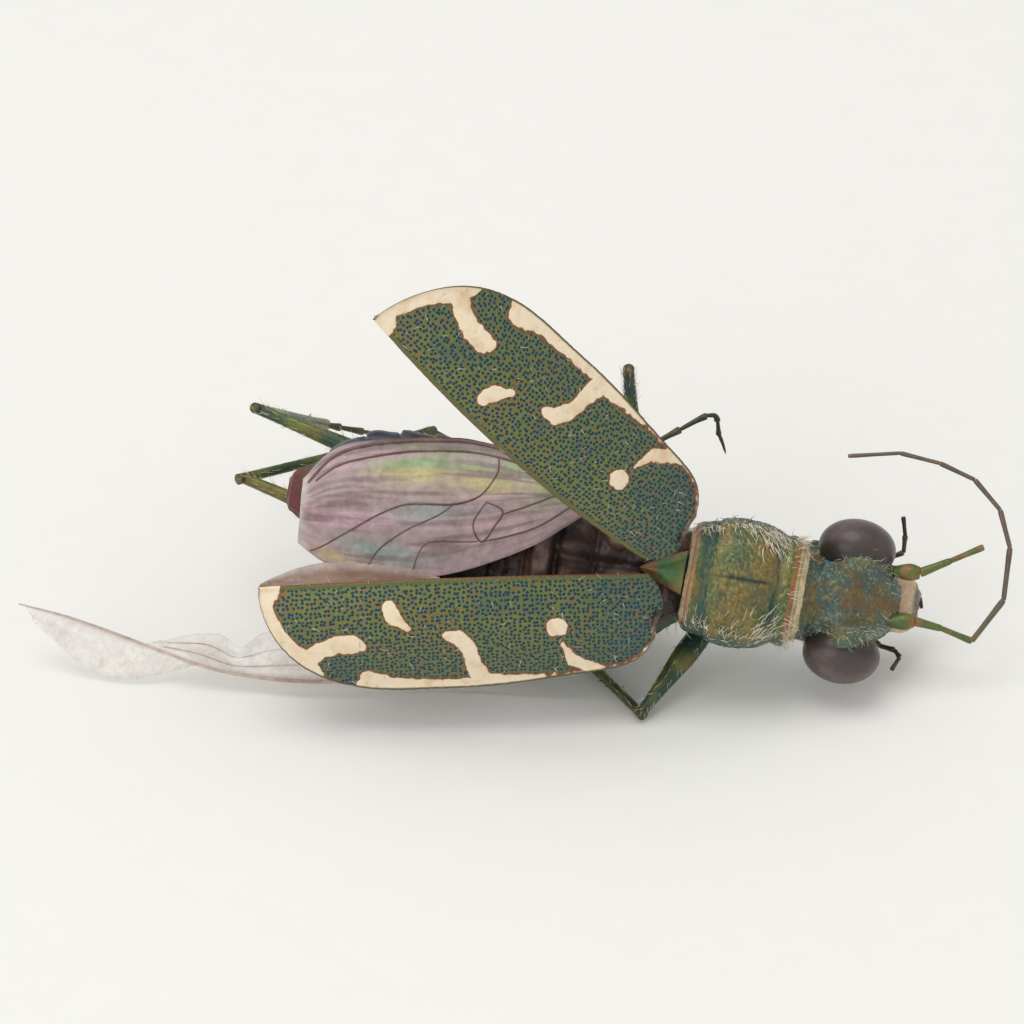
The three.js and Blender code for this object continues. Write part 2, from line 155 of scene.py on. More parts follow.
def shell(rings):  # rings (rows, columns, 3) closed round and drawn to a point at each end
    rows, columns = rings.shape[:2]
    points = np.vstack([rings.reshape(-1, 3), rings[0].mean(0), rings[-1].mean(0)])
    faces = gridFaces(rows, columns, closed=True)
    first, last = rows * columns, rows * columns + 1
    for j in range(columns):
        k = (j + 1) % columns
        faces.append([first, k, j])
        faces.append([last, (rows - 1) * columns + j, (rows - 1) * columns + k])
    return points, faces


def slabFaces(rows, columns):  # an upper and a lower grid with the same outline, closed round the edge
    upper = gridFaces(rows, columns)
    count = rows * columns
    lower = [[k + count for k in face[::-1]] for face in upper]
    rim = ([j for j in range(columns)] + [i * columns + columns - 1 for i in range(1, rows)]
           + [(rows - 1) * columns + j for j in range(columns - 2, -1, -1)]
           + [i * columns for i in range(rows - 2, 0, -1)])
    walls = [[b, a, a + count, b + count] for a, b in zip(rim, rim[1:] + rim[:1])]
    return upper + lower + walls


def gridNormals(grid, closed=False):
    along = np.gradient(grid, axis=0)
    if closed:
        across = (np.roll(grid, -1, 1) - np.roll(grid, 1, 1)) / 2
    else:
        across = np.gradient(grid, axis=1)
    n = np.cross(along, across)
    return n / np.maximum(np.linalg.norm(n, axis=-1, keepdims=True), 1e-9)


def sections(rows, rings, around, square=2.3):  # rows of x, y, z, half width, height above and below
    row = between(rows, np.linspace(0, 1, rings))
    a = np.linspace(0, 2 * math.pi, around, endpoint=False)
    across = np.sign(np.cos(a)) * np.abs(np.cos(a)) ** (2 / square)
    rise = np.sign(np.sin(a)) * np.abs(np.sin(a)) ** (2 / square)
    x = np.repeat(row[:, :1], around, 1)
    y = row[:, 1:2] + across[None] * row[:, 3:4]
    z = row[:, 2:3] + rise[None] * np.where(rise[None] > 0, row[:, 4:5], row[:, 5:6])
    return np.stack([x, y, z], -1), np.repeat(a[None], rings, 0)


anySide = (0.31, -0.22, 0.92)  # a direction that no rod follows, for setting out its rings


def tube(path, radii, sides=10, steps=4, flat=1.0):  # rings of a round rod along a smooth path
    path, radii = np.asarray(path, float), np.asarray(radii, float)
    t = np.linspace(0, 1, (len(path) - 1) * steps + 1)
    middle = between(path, t)
    wide = between(radii[:, None], t)
    ahead = unit(np.gradient(middle, axis=0))
    out = unit(np.cross(ahead, anySide))
    over = np.cross(ahead, out)
    a = np.linspace(0, 2 * math.pi, sides, endpoint=False)[None, :, None]
    spokes = out[:, None] * np.cos(a) + flat * over[:, None] * np.sin(a)
    return middle[:, None] + spokes * wide[:, None]


def joined(parts):  # several (points, faces) as one
    points, faces, start = [], [], 0
    for p, f in parts:
        points.append(p)
        faces += [[k + start for k in face] for face in turnedOut(p, f)]
        start += len(p)
    return np.vstack(points), faces


def linked(name, data):
    thing = bpy.data.objects.new(name, data)
    bpy.context.scene.collection.objects.link(thing)
    return thing


def makePiece(name, mesh, material, nodes, tint=None, values=None, sort=True):
    points, faces = mesh
    placed = stagePoints(points)
    data = bpy.data.meshes.new(name)
    data.from_pydata(placed.tolist(), [], turnedOut(placed, faces) if sort else faces)
    for key, value in (values or {}).items():
        data.attributes.new(key, "FLOAT", "POINT").data.foreach_set("value", np.asarray(value, np.float32))
    if tint is not None:
        rgba = np.concatenate([np.clip(tint, 0, 1), np.ones((len(tint), 1))], 1)
        layer = data.attributes.new("tint", "FLOAT_COLOR", "POINT")
        layer.data.foreach_set("color", rgba.astype(np.float32).ravel())
    data.shade_smooth()
    data.materials.append(material)
    data.update()
    piece = linked(name, data)
    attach(piece, "root")
    if nodes:
        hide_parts(*nodes)


# Helpers for materials

def put(tree, kind, inputs=None, **settings):
    node = tree.nodes.new(kind)
    for key, value in settings.items():
        setattr(node, key, value)
    for key, value in (inputs or {}).items():
        if isinstance(value, bpy.types.NodeSocket):
            tree.links.new(value, node.inputs[key])
        else:
            node.inputs[key].default_value = value
    return node


def attribute(tree, name, output="Fac"):
    return put(tree, "ShaderNodeAttribute", attribute_name=name).outputs[output]


def objectSpot(tree):
    return put(tree, "ShaderNodeTexCoord").outputs["Object"]


def speckle(tree, spot, scale, detail, **more):
    given = {"Vector": spot, "Scale": scale, "Detail": detail, **more}
    return put(tree, "ShaderNodeTexNoise", given).outputs["Fac"]


def blendColours(tree, factor, first, second, how="MIX"):
    given = {0: factor, 6: first, 7: second}
    return put(tree, "ShaderNodeMix", given, data_type="RGBA", blend_type=how).outputs[2]


def layered(tree, colour, layers):  # colours laid over the first in turn, each by its mask
    for mask, over in layers:
        colour = blendColours(tree, mask, colour, over)
    return colour


def stepped(tree, value, low, high):  # a smooth step from 0 to 1
    given = {0: value, 1: low, 2: high}
    return put(tree, "ShaderNodeMapRange", given, interpolation_type="SMOOTHSTEP").outputs[0]


def reckon(tree, how, first, second=0.5):
    return put(tree, "ShaderNodeMath", {0: first, 1: second}, operation=how).outputs[0]


def times(tree, first, second):
    return reckon(tree, "MULTIPLY", first, second)


def newTree(name, kind, inputs, outputs):
    tree = bpy.data.node_groups.new(name, kind)
    for way, sockets in (("INPUT", inputs), ("OUTPUT", outputs)):
        for key, socketKind in sockets:
            tree.interface.new_socket(key, in_out=way, socket_type="NodeSocket" + socketKind)
    return tree, tree.nodes.new("NodeGroupInput"), tree.nodes.new("NodeGroupOutput")


def makeMottle():  # two colours drifting over a third in soft patches, with a fine grain
    group, source, result = newTree(
        "metallicMottle", "ShaderNodeTree",
        [("Base", "Color"), ("First", "Color"), ("Second", "Color"), ("Scale", "Float"),
         ("Amount", "Float"), ("Grain", "Float")],
        [("Colour", "Color"), ("Height", "Float"), ("Patches", "Float")])
    given = source.outputs
    spot = objectSpot(group)
    patches = speckle(group, spot, given["Scale"], 4.0, Roughness=0.62)
    grain = speckle(group, spot, given["Grain"], 3.0, Roughness=0.7)
    colour = layered(group, given["Base"], [
        (times(group, stepped(group, patches, 0.5, 0.66), given["Amount"]), given["First"]),
        (times(group, stepped(group, patches, 0.48, 0.34), given["Amount"]), given["Second"])])
    fine = reckon(group, "ADD", reckon(group, "MULTIPLY_ADD", grain, 0.9), 0.05)
    grey = put(group, "ShaderNodeCombineColor", {0: fine, 1: fine, 2: fine}).outputs[0]
    colour = blendColours(group, 1.0, colour, grey, "MULTIPLY")
    for key, value in (("Colour", colour), ("Height", grain), ("Patches", patches)):
        group.links.new(value, result.inputs[key])
    return group


mottleGroup = makeMottle()


def newMaterial(name, **sockets):
    material = bpy.data.materials.new(name)
    material.use_nodes = True
    shader = material.node_tree.nodes["Principled BSDF"]
    for key, value in sockets.items():
        words = "".join(" " + c if c.isupper() else c for c in key).title()
        shader.inputs[words].default_value = value
    return material, material.node_tree, shader


def mottled(tree, base, first, second, scale, amount, grain):
    return put(tree, "ShaderNodeGroup", {"Base": base, "First": first, "Second": second, "Scale": scale,
                                         "Amount": amount, "Grain": grain}, node_tree=mottleGroup)


def bumped(tree, shader, height, strength, distance):
    node = put(tree, "ShaderNodeBump", {"Height": height, "Strength": strength, "Distance": distance})
    tree.links.new(node.outputs[0], shader.inputs["Normal"])


# mottle: two colours, how fine their patches are and how much they show, and how fine the grain is
def mottledMaterial(name, mottle, sheen, relief=(0.6, 0.00002), base=None):
    material, tree, shader = newMaterial(name, **sheen)
    node = mottled(tree, base or attribute(tree, "tint", "Color"), *mottle)
    tree.links.new(node.outputs["Colour"], shader.inputs["Base Color"])
    if relief:
        bumped(tree, shader, node.outputs["Height"], *relief)
    return material, tree, shader, node


# Camera

camera = {"target": (-0.107, -3.452, 4.143), "elevation": 35, "distance": 155, "lens": 286, "sensor": 36,
          "near": 0.01, "far": 10}


def makeCamera():
    data = bpy.data.cameras.new("camera")
    data.lens, data.sensor_width = camera["lens"], camera["sensor"]
    data.clip_start, data.clip_end = camera["near"], camera["far"]
    data.dof.use_dof = False
    tilt = math.radians(camera["elevation"])
    eye = linked("camera", data)
    away = np.array([0, -math.cos(tilt), math.sin(tilt)]) * camera["distance"]
    eye.location = (np.array(camera["target"]) + away) * millimetre
    eye.rotation_euler = (math.pi / 2 - tilt, 0, 0)
    bpy.context.scene.camera = eye


makeCamera()
print("camera set")

# Body: pronotum, head, thorax and abdomen

skins = {}  # points, outward directions and angles of finished skins, for the bristles


def skinForm(settings):  # the plain form, its points, and how far forward, up and to the side each one is
    grid, angle = sections(settings["rows"], settings["rings"], settings["around"])
    out = gridNormals(grid, closed=True)
    i, j = settings["rings"] // 2, settings["around"] // 4
    out *= np.sign((out[i, j] * (grid[i, j] - grid[i].mean(0))).sum())
    flat = grid.reshape(-1, 3)
    return (out, angle), flat, flat[:, 0], np.sin(angle).ravel(), np.cos(angle).ravel()


def raised(form, flat, relief):
    return flat + form[0].reshape(-1, 3) * relief[:, None]


def dressSkin(name, settings, form, points, tint, material):
    out, angle = form
    skins[name] = (points.reshape(out.shape), out, angle)
    tint = np.vstack([tint, *[settings[key] for key in settings["ends"]]])
    makePiece(name + "Skin", shell(skins[name][0]), material, [name], tint)


pronotum = {
    "mottle": (colour4(150, 118, 58), colour4(44, 76, 72), 1500.0, 0.4, 9000.0),
    "sheen": {"metallic": 0.35, "roughness": 0.42},
    "rings": 150, "around": 220, "ends": ("rim", "rim"),
    "rows": [(2.34, 0.14, -1.24, 0.84, 0.7, 0.78), (2.2, 0.14, -1.22, 0.98, 0.82, 0.85),
             (2.02, 0.14, -1.2, 1.08, 0.92, 0.92), (1.85, 0.14, -1.18, 1.06, 0.9, 0.95),
             (1.5, 0.13, -1.12, 1.2, 1.0, 1.0), (1.0, 0.12, -1.08, 1.24, 1.02, 1.0),
             (0.55, 0.11, -1.05, 1.16, 0.97, 0.95), (0.36, 0.1, -1.03, 1.08, 0.92, 0.92),
             (0.18, 0.1, -1.02, 1.04, 0.91, 0.9), (0.06, 0.1, -1.02, 0.9, 0.78, 0.8)],
    "gold": srgb(124, 108, 58), "green": srgb(88, 104, 58), "teal": srgb(50, 84, 80),
    "orange": srgb(158, 104, 64), "rim": srgb(202, 184, 146), "pink": srgb(170, 124, 104),
    "side": srgb(70, 100, 90), "dark": srgb(30, 46, 50), "speck": srgb(156, 144, 96)}


def makePronotum(material):
    form, flat, x, up, side = skinForm(pronotum)
    wide = np.abs(side)
    top = ease(up, 0.1, 0.6)
    frontGroove = bump(x, 1.84 - 0.1 * wide, 0.05)
    rearGroove = bump(x, 0.42 + 0.1 * wide ** 2, 0.08)
    median = bump(side, 0.0, 0.02 + 0.012 * cloud(flat, 0.3, 2, 4))
    median *= ease(x, 0.4, 0.6) * ease(x, 1.75, 1.55) * (up > 0)
    wrinkles = cloud(flat, 0.06, 3, 1, (1.3, 0.8, 1)) * (0.4 + 0.6 * ease(x, 0.4, 0.6) * ease(x, 1.9, 1.8))
    disc = ease(up, 0.25, 0.7) * ease(x, 0.5, 0.7) * ease(x, 1.78, 1.62)
    relief = (-0.035 * frontGroove * top - 0.045 * rearGroove - 0.03 * median + 0.024 * wrinkles
              + 0.02 * bump(wide, 0.86, 0.03) * (up > 0) + 0.02 * cloud(flat, 0.5, 2, 2) + 0.015 * disc)
    drift = cloud(flat, 0.55, 3, 5)
    grains = cloud(flat, 0.045, 2, 3)
    grooves = np.clip(0.7 * rearGroove + 0.6 * frontGroove + 0.6 * bump(x, 1.72, 0.09), 0, 1)
    tint = painted(pronotum, "side", [
        ("green", ease(up, 0.3, 0.75)),
        ("gold", disc * ease(drift, -0.45, 0.25) * (1 - 0.4 * median)),
        ("speck", 0.75 * ease(grains, 0.2, 0.45) * top),
        ("dark", 0.45 * ease(grains, -0.2, -0.45) * top),
        ("teal", grooves * ease(cloud(flat, 0.35, 2, 8), -0.7, 0.2)),
        ("teal", ease(x, 0.62, 0.42) * ease(x, 0.24, 0.3) * 0.5),
        ("dark", median),
        ("orange", 0.9 * top * ease(x, 2.04, 2.09) * ease(x, 2.2, 2.17)),
        ("rim", ease(x, 2.15, 2.19)),
        ("pink", top * ease(x, 0.22, 0.19)),
        ("rim", ease(x, 0.13, 0.115)),
        ("dark", bump(x, 2.22, 0.02) * 0.5),
        ("green", bump(x, 0.3, 0.03) * 0.6)])
    dressSkin("pronotum", pronotum, form, raised(form, flat, relief), tint, material)


head = {
    "mottle": (colour4(110, 96, 54), colour4(46, 74, 84), 1700.0, 0.35, 9000.0),
    "sheen": {"metallic": 0.35, "roughness": 0.42},
    "rings": 150, "around": 200, "ends": ("dark", "dark"), "leftPlate": -1.02, "rightPlate": -0.92,
    "rows": [(4.22, 0.3, -2.1, 0.36, 0.34, 0.36), (4.12, 0.3, -2.08, 0.48, 0.46, 0.46),
             (4.0, 0.29, -2.06, 0.64, 0.56, 0.55), (3.7, 0.25, -2.0, 0.88, 0.72, 0.64),
             (3.2, 0.2, -1.94, 1.0, 0.78, 0.72), (2.75, 0.17, -1.85, 0.86, 0.7, 0.72),
             (2.47, 0.15, -1.75, 0.86, 0.68, 0.68), (2.0, 0.14, -1.5, 0.8, 0.66, 0.68)],
    "teal": srgb(74, 96, 88), "olive": srgb(106, 94, 54), "green": srgb(88, 106, 54),
    "turquoise": srgb(44, 140, 148), "gold": srgb(168, 136, 50), "dark": srgb(40, 52, 50),
    "brown": srgb(108, 84, 56), "speck": srgb(158, 146, 104)}


def makeHead(material):
    form, flat, x, up, side = skinForm(head)
    wide = np.abs(side)
    crown = ease(up, 0.1, 0.6) * ease(x, 2.6, 2.9) * ease(x, 4.1, 3.8)
    rugae = np.sin(34 * side + 3 * cloud(flat, 0.4, 2, 3)) * crown
    dip = bump(side, 0.0, 0.35) * bump(x, 3.5, 0.35) * ease(up, 0.4, 0.8)
    relief = 0.006 * rugae + 0.016 * cloud(flat, 0.09, 3, 6) + 0.03 * cloud(flat, 0.45, 2, 7) - 0.07 * dip
    points = raised(form, flat, relief)
    # the flat plates that stand over the eyes
    plate = ease(wide, 0.2, 0.6) * ease(up, 0.04, 0.2) * ease(x, 2.6, 3.2) * ease(x, 4.1, 3.4)
    plateTop = np.where(side > 0, head["leftPlate"], head["rightPlate"])
    points[:, 2] += plate * np.maximum(plateTop - points[:, 2], 0)
    drift = cloud(flat, 0.42, 3, 9)
    cross = np.maximum(bump(side, -0.06, 0.16) * ease(x, 2.6, 3.0),
                       bump(x, 3.35, 0.14) * bump(side, 0, 0.6))
    grains = cloud(flat, 0.05, 2, 8)
    rim = bump(wide, 0.8, 0.13) * (up > 0) * ease(x, 2.95, 3.1) * ease(x, 3.95, 3.7)
    tint = painted(head, "teal", [
        ("olive", 0.85 * ease(drift, 0.0, 0.35)),
        ("speck", 0.6 * ease(grains, 0.2, 0.45) * ease(up, 0.1, 0.5)),
        ("brown", 0.8 * cross * ease(up, 0.3, 0.7) * ease(drift, -0.5, 0.1)),
        ("green", 0.4 * rim),
        ("gold", 0.4 * rim * ease(cloud(flat, 0.2, 2, 11), 0.15, 0.5)),
        ("turquoise", 0.9 * bump(wide, 0.84, 0.1) * (up > -0.2) * bump(x, 2.78, 0.12)),
        ("dark", ease(up, 0.0, -0.5) * 0.7)])
    dressSkin("head", head, form, points, tint, material)


eye = {
    "mottle": (colour4(84, 66, 64), colour4(34, 28, 30), 2200.0, 0.35, 5000.0),
    "sheen": {"roughness": 0.42, "coatWeight": 0.25, "coatRoughness": 0.16}, "facetRelief": (0.25, 0.000006),
    "size": (0.75, 0.57, 0.65), "left": (3.23, 1.22, -1.62), "right": (3.27, -0.84, -1.62), "rings": 100,
    "around": 160, "facets": 42000.0, "brown": srgb(62, 52, 49), "paintedSheen": srgb(96, 76, 76),
    "dark": srgb(30, 25, 25)}


def makeEye(side, material):
    a = np.linspace(0, 2 * math.pi, eye["around"], endpoint=False)[None]
    b = np.linspace(0.02, math.pi - 0.02, eye["rings"])[:, None]
    ball = np.stack([np.cos(a) * np.sin(b), np.sin(a) * np.sin(b), np.cos(b) + 0 * a], -1)
    x, y, z = np.vstack([ball.reshape(-1, 3), [0, 0, 1], [0, 0, -1]]).T
    outward = y * (1 if side == "left" else -1)
    # the purple band on the upper outer side is a painted sheen; the darker lower half and the darker inner
    # side, where the eye meets the head, are painted shade
    tint = painted(eye, "brown", [
        ("paintedSheen", 0.85 * bump(z + 0.35 * x, 0.5, 0.28) * ease(outward, -0.2, 0.3)),
        ("dark", 0.8 * ease(z, 0.1, -0.6)),
        ("dark", 0.7 * ease(-outward, -0.25, 0.2))])
    makePiece("eyeSkin" + side.title(), shell(ball * eye["size"] + eye[side]), material, ["eye_" + side],
              tint)


thorax = {
    "mottle": (colour4(92, 66, 56), colour4(30, 36, 52), 1200.0, 0.4, 7000.0),
    "sheen": {"metallic": 0.2, "roughness": 0.38},
    "rings": 170, "around": 220, "ends": ("dark", "dark"),
    "rows": [(0.3, 0.09, -1.1, 0.7, 0.55, 0.6), (-0.15, 0.06, -1.25, 1.02, 0.8, 0.85),
             (-0.6, 0.03, -1.4, 1.4, 0.92, 1.05), (-1.3, 0, -1.52, 1.72, 1.0, 1.1),
             (-2.2, 0, -1.58, 1.9, 1.05, 1.1), (-3.0, 0.04, -1.6, 1.86, 1.02, 1.05),
             (-3.62, 0.08, -1.63, 1.74, 0.88, 0.92), (-4.0, 0.12, -1.66, 1.5, 0.7, 0.74)],
    "dark": srgb(56, 42, 38), "plate": srgb(150, 124, 112), "brown": srgb(96, 70, 58),
    "green": srgb(52, 84, 66), "teal": srgb(38, 70, 78), "copper": srgb(120, 78, 44)}


def makeThorax(material):
    form, flat, x, up, side = skinForm(thorax)
    wide = np.abs(side)
    top = ease(up, 0.0, 0.35)
    waves = cloud(flat, 0.5, 3, 12)
    # hard plates of the back, with soft folds between them
    plates = np.maximum.reduce([
        bump(x, -1.35, 0.28) * bump(wide, 0.34, 0.2), bump(x, -2.1, 0.34) * bump(wide, 0.5, 0.2),
        bump(x, -2.75, 0.2) * bump(side, 0, 0.5), bump(x, -0.85, 0.16) * bump(wide, 0.5, 0.2)]) * top
    folds = bump(x, -1.72, 0.07) + bump(x, -2.46, 0.06) + bump(x, -3.1, 0.06)
    folds += bump(side, 0, 0.05) * (up > 0)
    sutures = np.maximum.reduce([bump(x + 0.5 * up, -0.9, 0.05), bump(x + 0.5 * up, -2.2, 0.05),
                                 bump(x, -3.1, 0.04)]) * (1 - top)
    relief = (0.13 * ease(plates, 0.25, 0.7) - 0.08 * folds * top - 0.06 * sutures + 0.05 * waves * top
              + 0.012 * cloud(flat, 0.09, 3, 13) - 0.14 * top)
    tint = painted(thorax, "green", [
        ("teal", ease(waves, -0.1, 0.3)),
        ("copper", 0.6 * ease(cloud(flat, 0.5, 3, 14), 0.1, 0.5)),
        ("dark", top),
        ("brown", top * ease(waves, 0.0, 0.4)),
        ("plate", ease(plates, 0.3, 0.65) * ease(cloud(flat, 0.4, 2, 15), -0.5, 0.1))])
    dressSkin("thorax", thorax, form, raised(form, flat, relief), tint, material)


abdomen = {
    "rings": 240, "around": 200, "ends": ("dark", "red"), "segments": 6, "front": -3.86, "rear": -7.78,
    "rows": [(-3.72, 0.1, -1.66, 1.66, 0.84, 0.86), (-3.86, 0.12, -1.68, 1.72, 0.86, 0.86),
             (-4.8, 0.22, -1.7, 1.74, 0.9, 0.88), (-5.8, 0.35, -1.72, 1.56, 0.9, 0.86),
             (-6.7, 0.45, -1.74, 1.2, 0.8, 0.78), (-7.3, 0.46, -1.78, 0.62, 0.5, 0.52),
             (-7.78, 0.44, -1.82, 0.26, 0.22, 0.24)], "dark": srgb(44, 34, 34), "blue": srgb(34, 52, 84),
    "green": srgb(46, 120, 62), "red": srgb(116, 50, 40), "pale": srgb(120, 96, 84),
    "copper": srgb(140, 84, 48)}


def makeAbdomen(material):
    form, flat, x, up, side = skinForm(abdomen)
    length = (x - abdomen["front"]) / (abdomen["rear"] - abdomen["front"])
    part = (length * abdomen["segments"]) % 1.0
    body = ease(length, 0.0, 0.02) * ease(length, 1.0, 0.97)
    tile = 0.055 * ease(part, 0.0, 0.9) - 0.075 * ease(part, 0.93, 1.0) - 0.045 * ease(part, 0.06, 0.0)
    tile *= body
    relief = (tile - 0.04 * bump(np.abs(side), 0.93, 0.05) + 0.01 * cloud(flat, 0.1, 3, 21)
              + 0.03 * cloud(flat, 0.8, 2, 22))
    drift = cloud(flat, 0.6, 3, 23)
    tint = painted(abdomen, "dark", [
        ("blue", ease(drift, -0.2, 0.3) * 0.8),
        ("pale", 0.55 * ease(part, 0.9, 0.98) * ease(drift, -0.3, 0.4)),
        ("copper", 0.5 * (up < 0) * ease(drift, 0.1, 0.6)),
        ("red", 0.8 * ease(length, 0.84, 0.92) * ease(drift, -0.6, 0.2)),
        ("green", 0.8 * bump(length, 0.84, 0.06) * ease(side, -0.3, 0.3))])
    dressSkin("abdomen", abdomen, form, raised(form, flat, relief), tint, material)


scutellum = {
    "rows": 60, "columns": 50, "thick": 0.34, "green": srgb(66, 110, 66), "copper": srgb(120, 84, 54),
    "teal": srgb(44, 92, 96)}


def makeScutellum(material):
    rows, columns = scutellum["rows"], scutellum["columns"]
    u = np.linspace(0, 1, rows)[:, None]
    v = np.linspace(-1, 1, columns)[None]
    half = 0.42 * (1 - u) ** 0.8 + 0.01
    x = 0.02 - 0.86 * u + 0 * v
    y = 0.08 - 0.05 * u + half * v
    z = -0.2 - 0.1 * u - 0.12 * np.abs(v) ** 2 * (1 - 0.5 * u) + 0.04 * (1 - v ** 2) * np.sin(np.pi * u)
    top = np.stack([x, y, z], -1).reshape(-1, 3)
    points = np.vstack([top, top - [0, 0, scutellum["thick"]]])
    length, rim = twice((u + 0 * v).ravel()), twice((np.abs(v) + 0 * u).ravel())
    copper = np.maximum(ease(length + 0.25 * cloud(points, 0.3, 2, 31), 0.4, 0.75), ease(rim, 0.7, 0.95))
    tint = painted(scutellum, "green", [
        ("copper", copper), ("teal", ease(cloud(points, 0.4, 2, 32), 0.1, 0.5) * ease(length, 0.4, 0.1))])
    makePiece("scutellum", (points, slabFaces(rows, columns)), material, (), tint)


def makeBody():
    bronze = mottledMaterial("bronzeCuticle", pronotum["mottle"], pronotum["sheen"])[0]
    dark = mottledMaterial("bodyCuticle", thorax["mottle"], thorax["sheen"])[0]
    makePronotum(bronze)
    makeHead(mottledMaterial("headCuticle", head["mottle"], head["sheen"])[0])
    makeThorax(dark)
    makeAbdomen(dark)
    makeScutellum(bronze)
    facetted, tree, shader = mottledMaterial("eyeFacets", eye["mottle"], eye["sheen"], relief=None)[:3]
    facets = put(tree, "ShaderNodeTexVoronoi", {"Vector": objectSpot(tree), "Scale": eye["facets"]})
    bumped(tree, shader, facets.outputs["Distance"], *eye["facetRelief"])
    for side in ("left", "right"):
        makeEye(side, facetted)
    print("body made")


makeBody()

# Elytra

elytron = {
    "length": 7.52, "width": 1.96, "crown": 1.28, "arch": 0.63, "thick": 0.13, "rows": 400, "columns": 118,
    "pitSpacing": 0.088, "pitWander": 0.62,
    "left": {"side": 1, "start": (-0.65, 0.09, 0.2), "splay": 29.6, "lift": 25.6, "roll": 29},
    "right": {"side": -1, "start": (-0.56, -0.07, 0.0), "splay": 12, "lift": 0, "roll": 0},
    "green": colour4(110, 120, 50), "brown": colour4(132, 98, 54), "teal": colour4(56, 98, 80),
    "navy": colour4(24, 36, 76), "cream": colour4(240, 222, 192), "rust": colour4(124, 78, 44),
    "bevel": colour4(96, 106, 58), "blue": colour4(46, 84, 84), "under": colour4(60, 44, 38),
    "stain": colour4(226, 196, 158), "rim": colour4(96, 84, 48), "paleUnder": colour4(176, 150, 120)}
# cream markings, as strokes of x from the base, y from the suture and radius
creamStrokes = {
    "apexHook": [(6.66, 1.42, 0.16), (6.42, 1.26, 0.15), (6.1, 1.16, 0.155), (5.78, 1.16, 0.17),
                 (5.62, 1.2, 0.11)], "stripeStart": [(5.52, 1.8, 0.15), (5.2, 1.84, 0.12)],
    "middleBand": [(3.3, 1.92, 0.2), (3.46, 1.64, 0.15), (3.56, 1.32, 0.14), (3.74, 1.12, 0.14),
                   (3.98, 1.06, 0.08)], "dot": [(5.05, 0.52, 0.14), (5.0, 0.68, 0.15), (4.72, 0.92, 0.05)],
    "shoulderDot": [(1.93, 0.97, 0.16), (1.82, 0.98, 0.15)],
    "shoulderHook": [(1.77, 1.3, 0.04), (1.6, 1.56, 0.1), (1.25, 1.7, 0.1), (0.9, 1.76, 0.05),
                     (0.3, 1.56, 0.03)]}
# cream along the outer edge: x from the base and depth in from the edge
creamEdge = [(0.0, 0.0), (0.2, 0.02), (2.0, 0.03), (2.6, 0.1), (3.1, 0.16), (3.6, 0.12), (4.2, 0.12),
             (5.0, 0.16), (5.55, 0.24), (5.72, 0.05), (5.8, -0.1), (6.25, -0.1), (6.4, 0.1), (6.6, 0.26),
             (7.0, 0.24), (7.52, 0.3)]


def elytronWide(u):
    shoulder = 1 - 0.5 * np.exp(-np.maximum(u, 0) / 0.035)
    swell = 0.93 - 0.07 * np.cos(np.pi * np.minimum(2 * u, 1))
    rear = np.clip((u - 0.6) / 0.4, 0, 1)
    return elytron["width"] * shoulder * swell * (1 - rear ** 2.7) ** 0.48


def elytronLocal(u, v):
    y = np.maximum(elytronWide(u), 0.03) * v
    corners = 0.14 * np.clip(1 - y / 0.3, 0, 1) ** 2 + 0.16 * np.clip((v - 0.6) / 0.4, 0, 1) ** 2
    x = elytron["length"] * u - 0.2 * np.sin(np.pi / 2 * v) * np.exp(-9 * u) + corners * np.exp(-30 * u)
    z = elytron["arch"] * 4 * u * (1 - u) - elytron["crown"] * (np.maximum(y, 0) / elytron["width"]) ** 2.3
    return np.stack([x, y, z], -1)


def elytronToBody(side, points):
    data = elytron[side]
    turned = turnAbout(2, data["splay"]) @ turnAbout(1, -data["lift"]) @ turnAbout(0, data["roll"])
    return np.array(data["start"]) + (points @ turned.T) * [-1, data["side"], 1]


def strokeField(x, y):  # how deep a point lies inside the nearest stroke
    best = np.full(x.shape, -9.0)
    for stroke in creamStrokes.values():
        for (ax, ay, ar), (bx, by, br) in zip(stroke, stroke[1:]):
            dx, dy = bx - ax, by - ay
            t = np.clip(((x - ax) * dx + (y - ay) * dy) / (dx * dx + dy * dy), 0, 1)
            best = np.maximum(best, ar + (br - ar) * t - np.hypot(x - ax - t * dx, y - ay - t * dy))
    return best


def edgeField(x, y, u):  # how deep a point lies inside the cream edge
    step = 1e-3
    slope = (elytronWide(u + step) - elytronWide(u - step)) / (2 * step * elytron["length"])
    inset = (elytronWide(u) - y) / np.sqrt(1 + slope ** 2)
    inset = np.minimum(inset, np.hypot(np.maximum(elytron["length"] - x, 0), y) * 0.62 + 9 * (x < 6.9))
    return np.interp(x, *zip(*creamEdge)) - inset


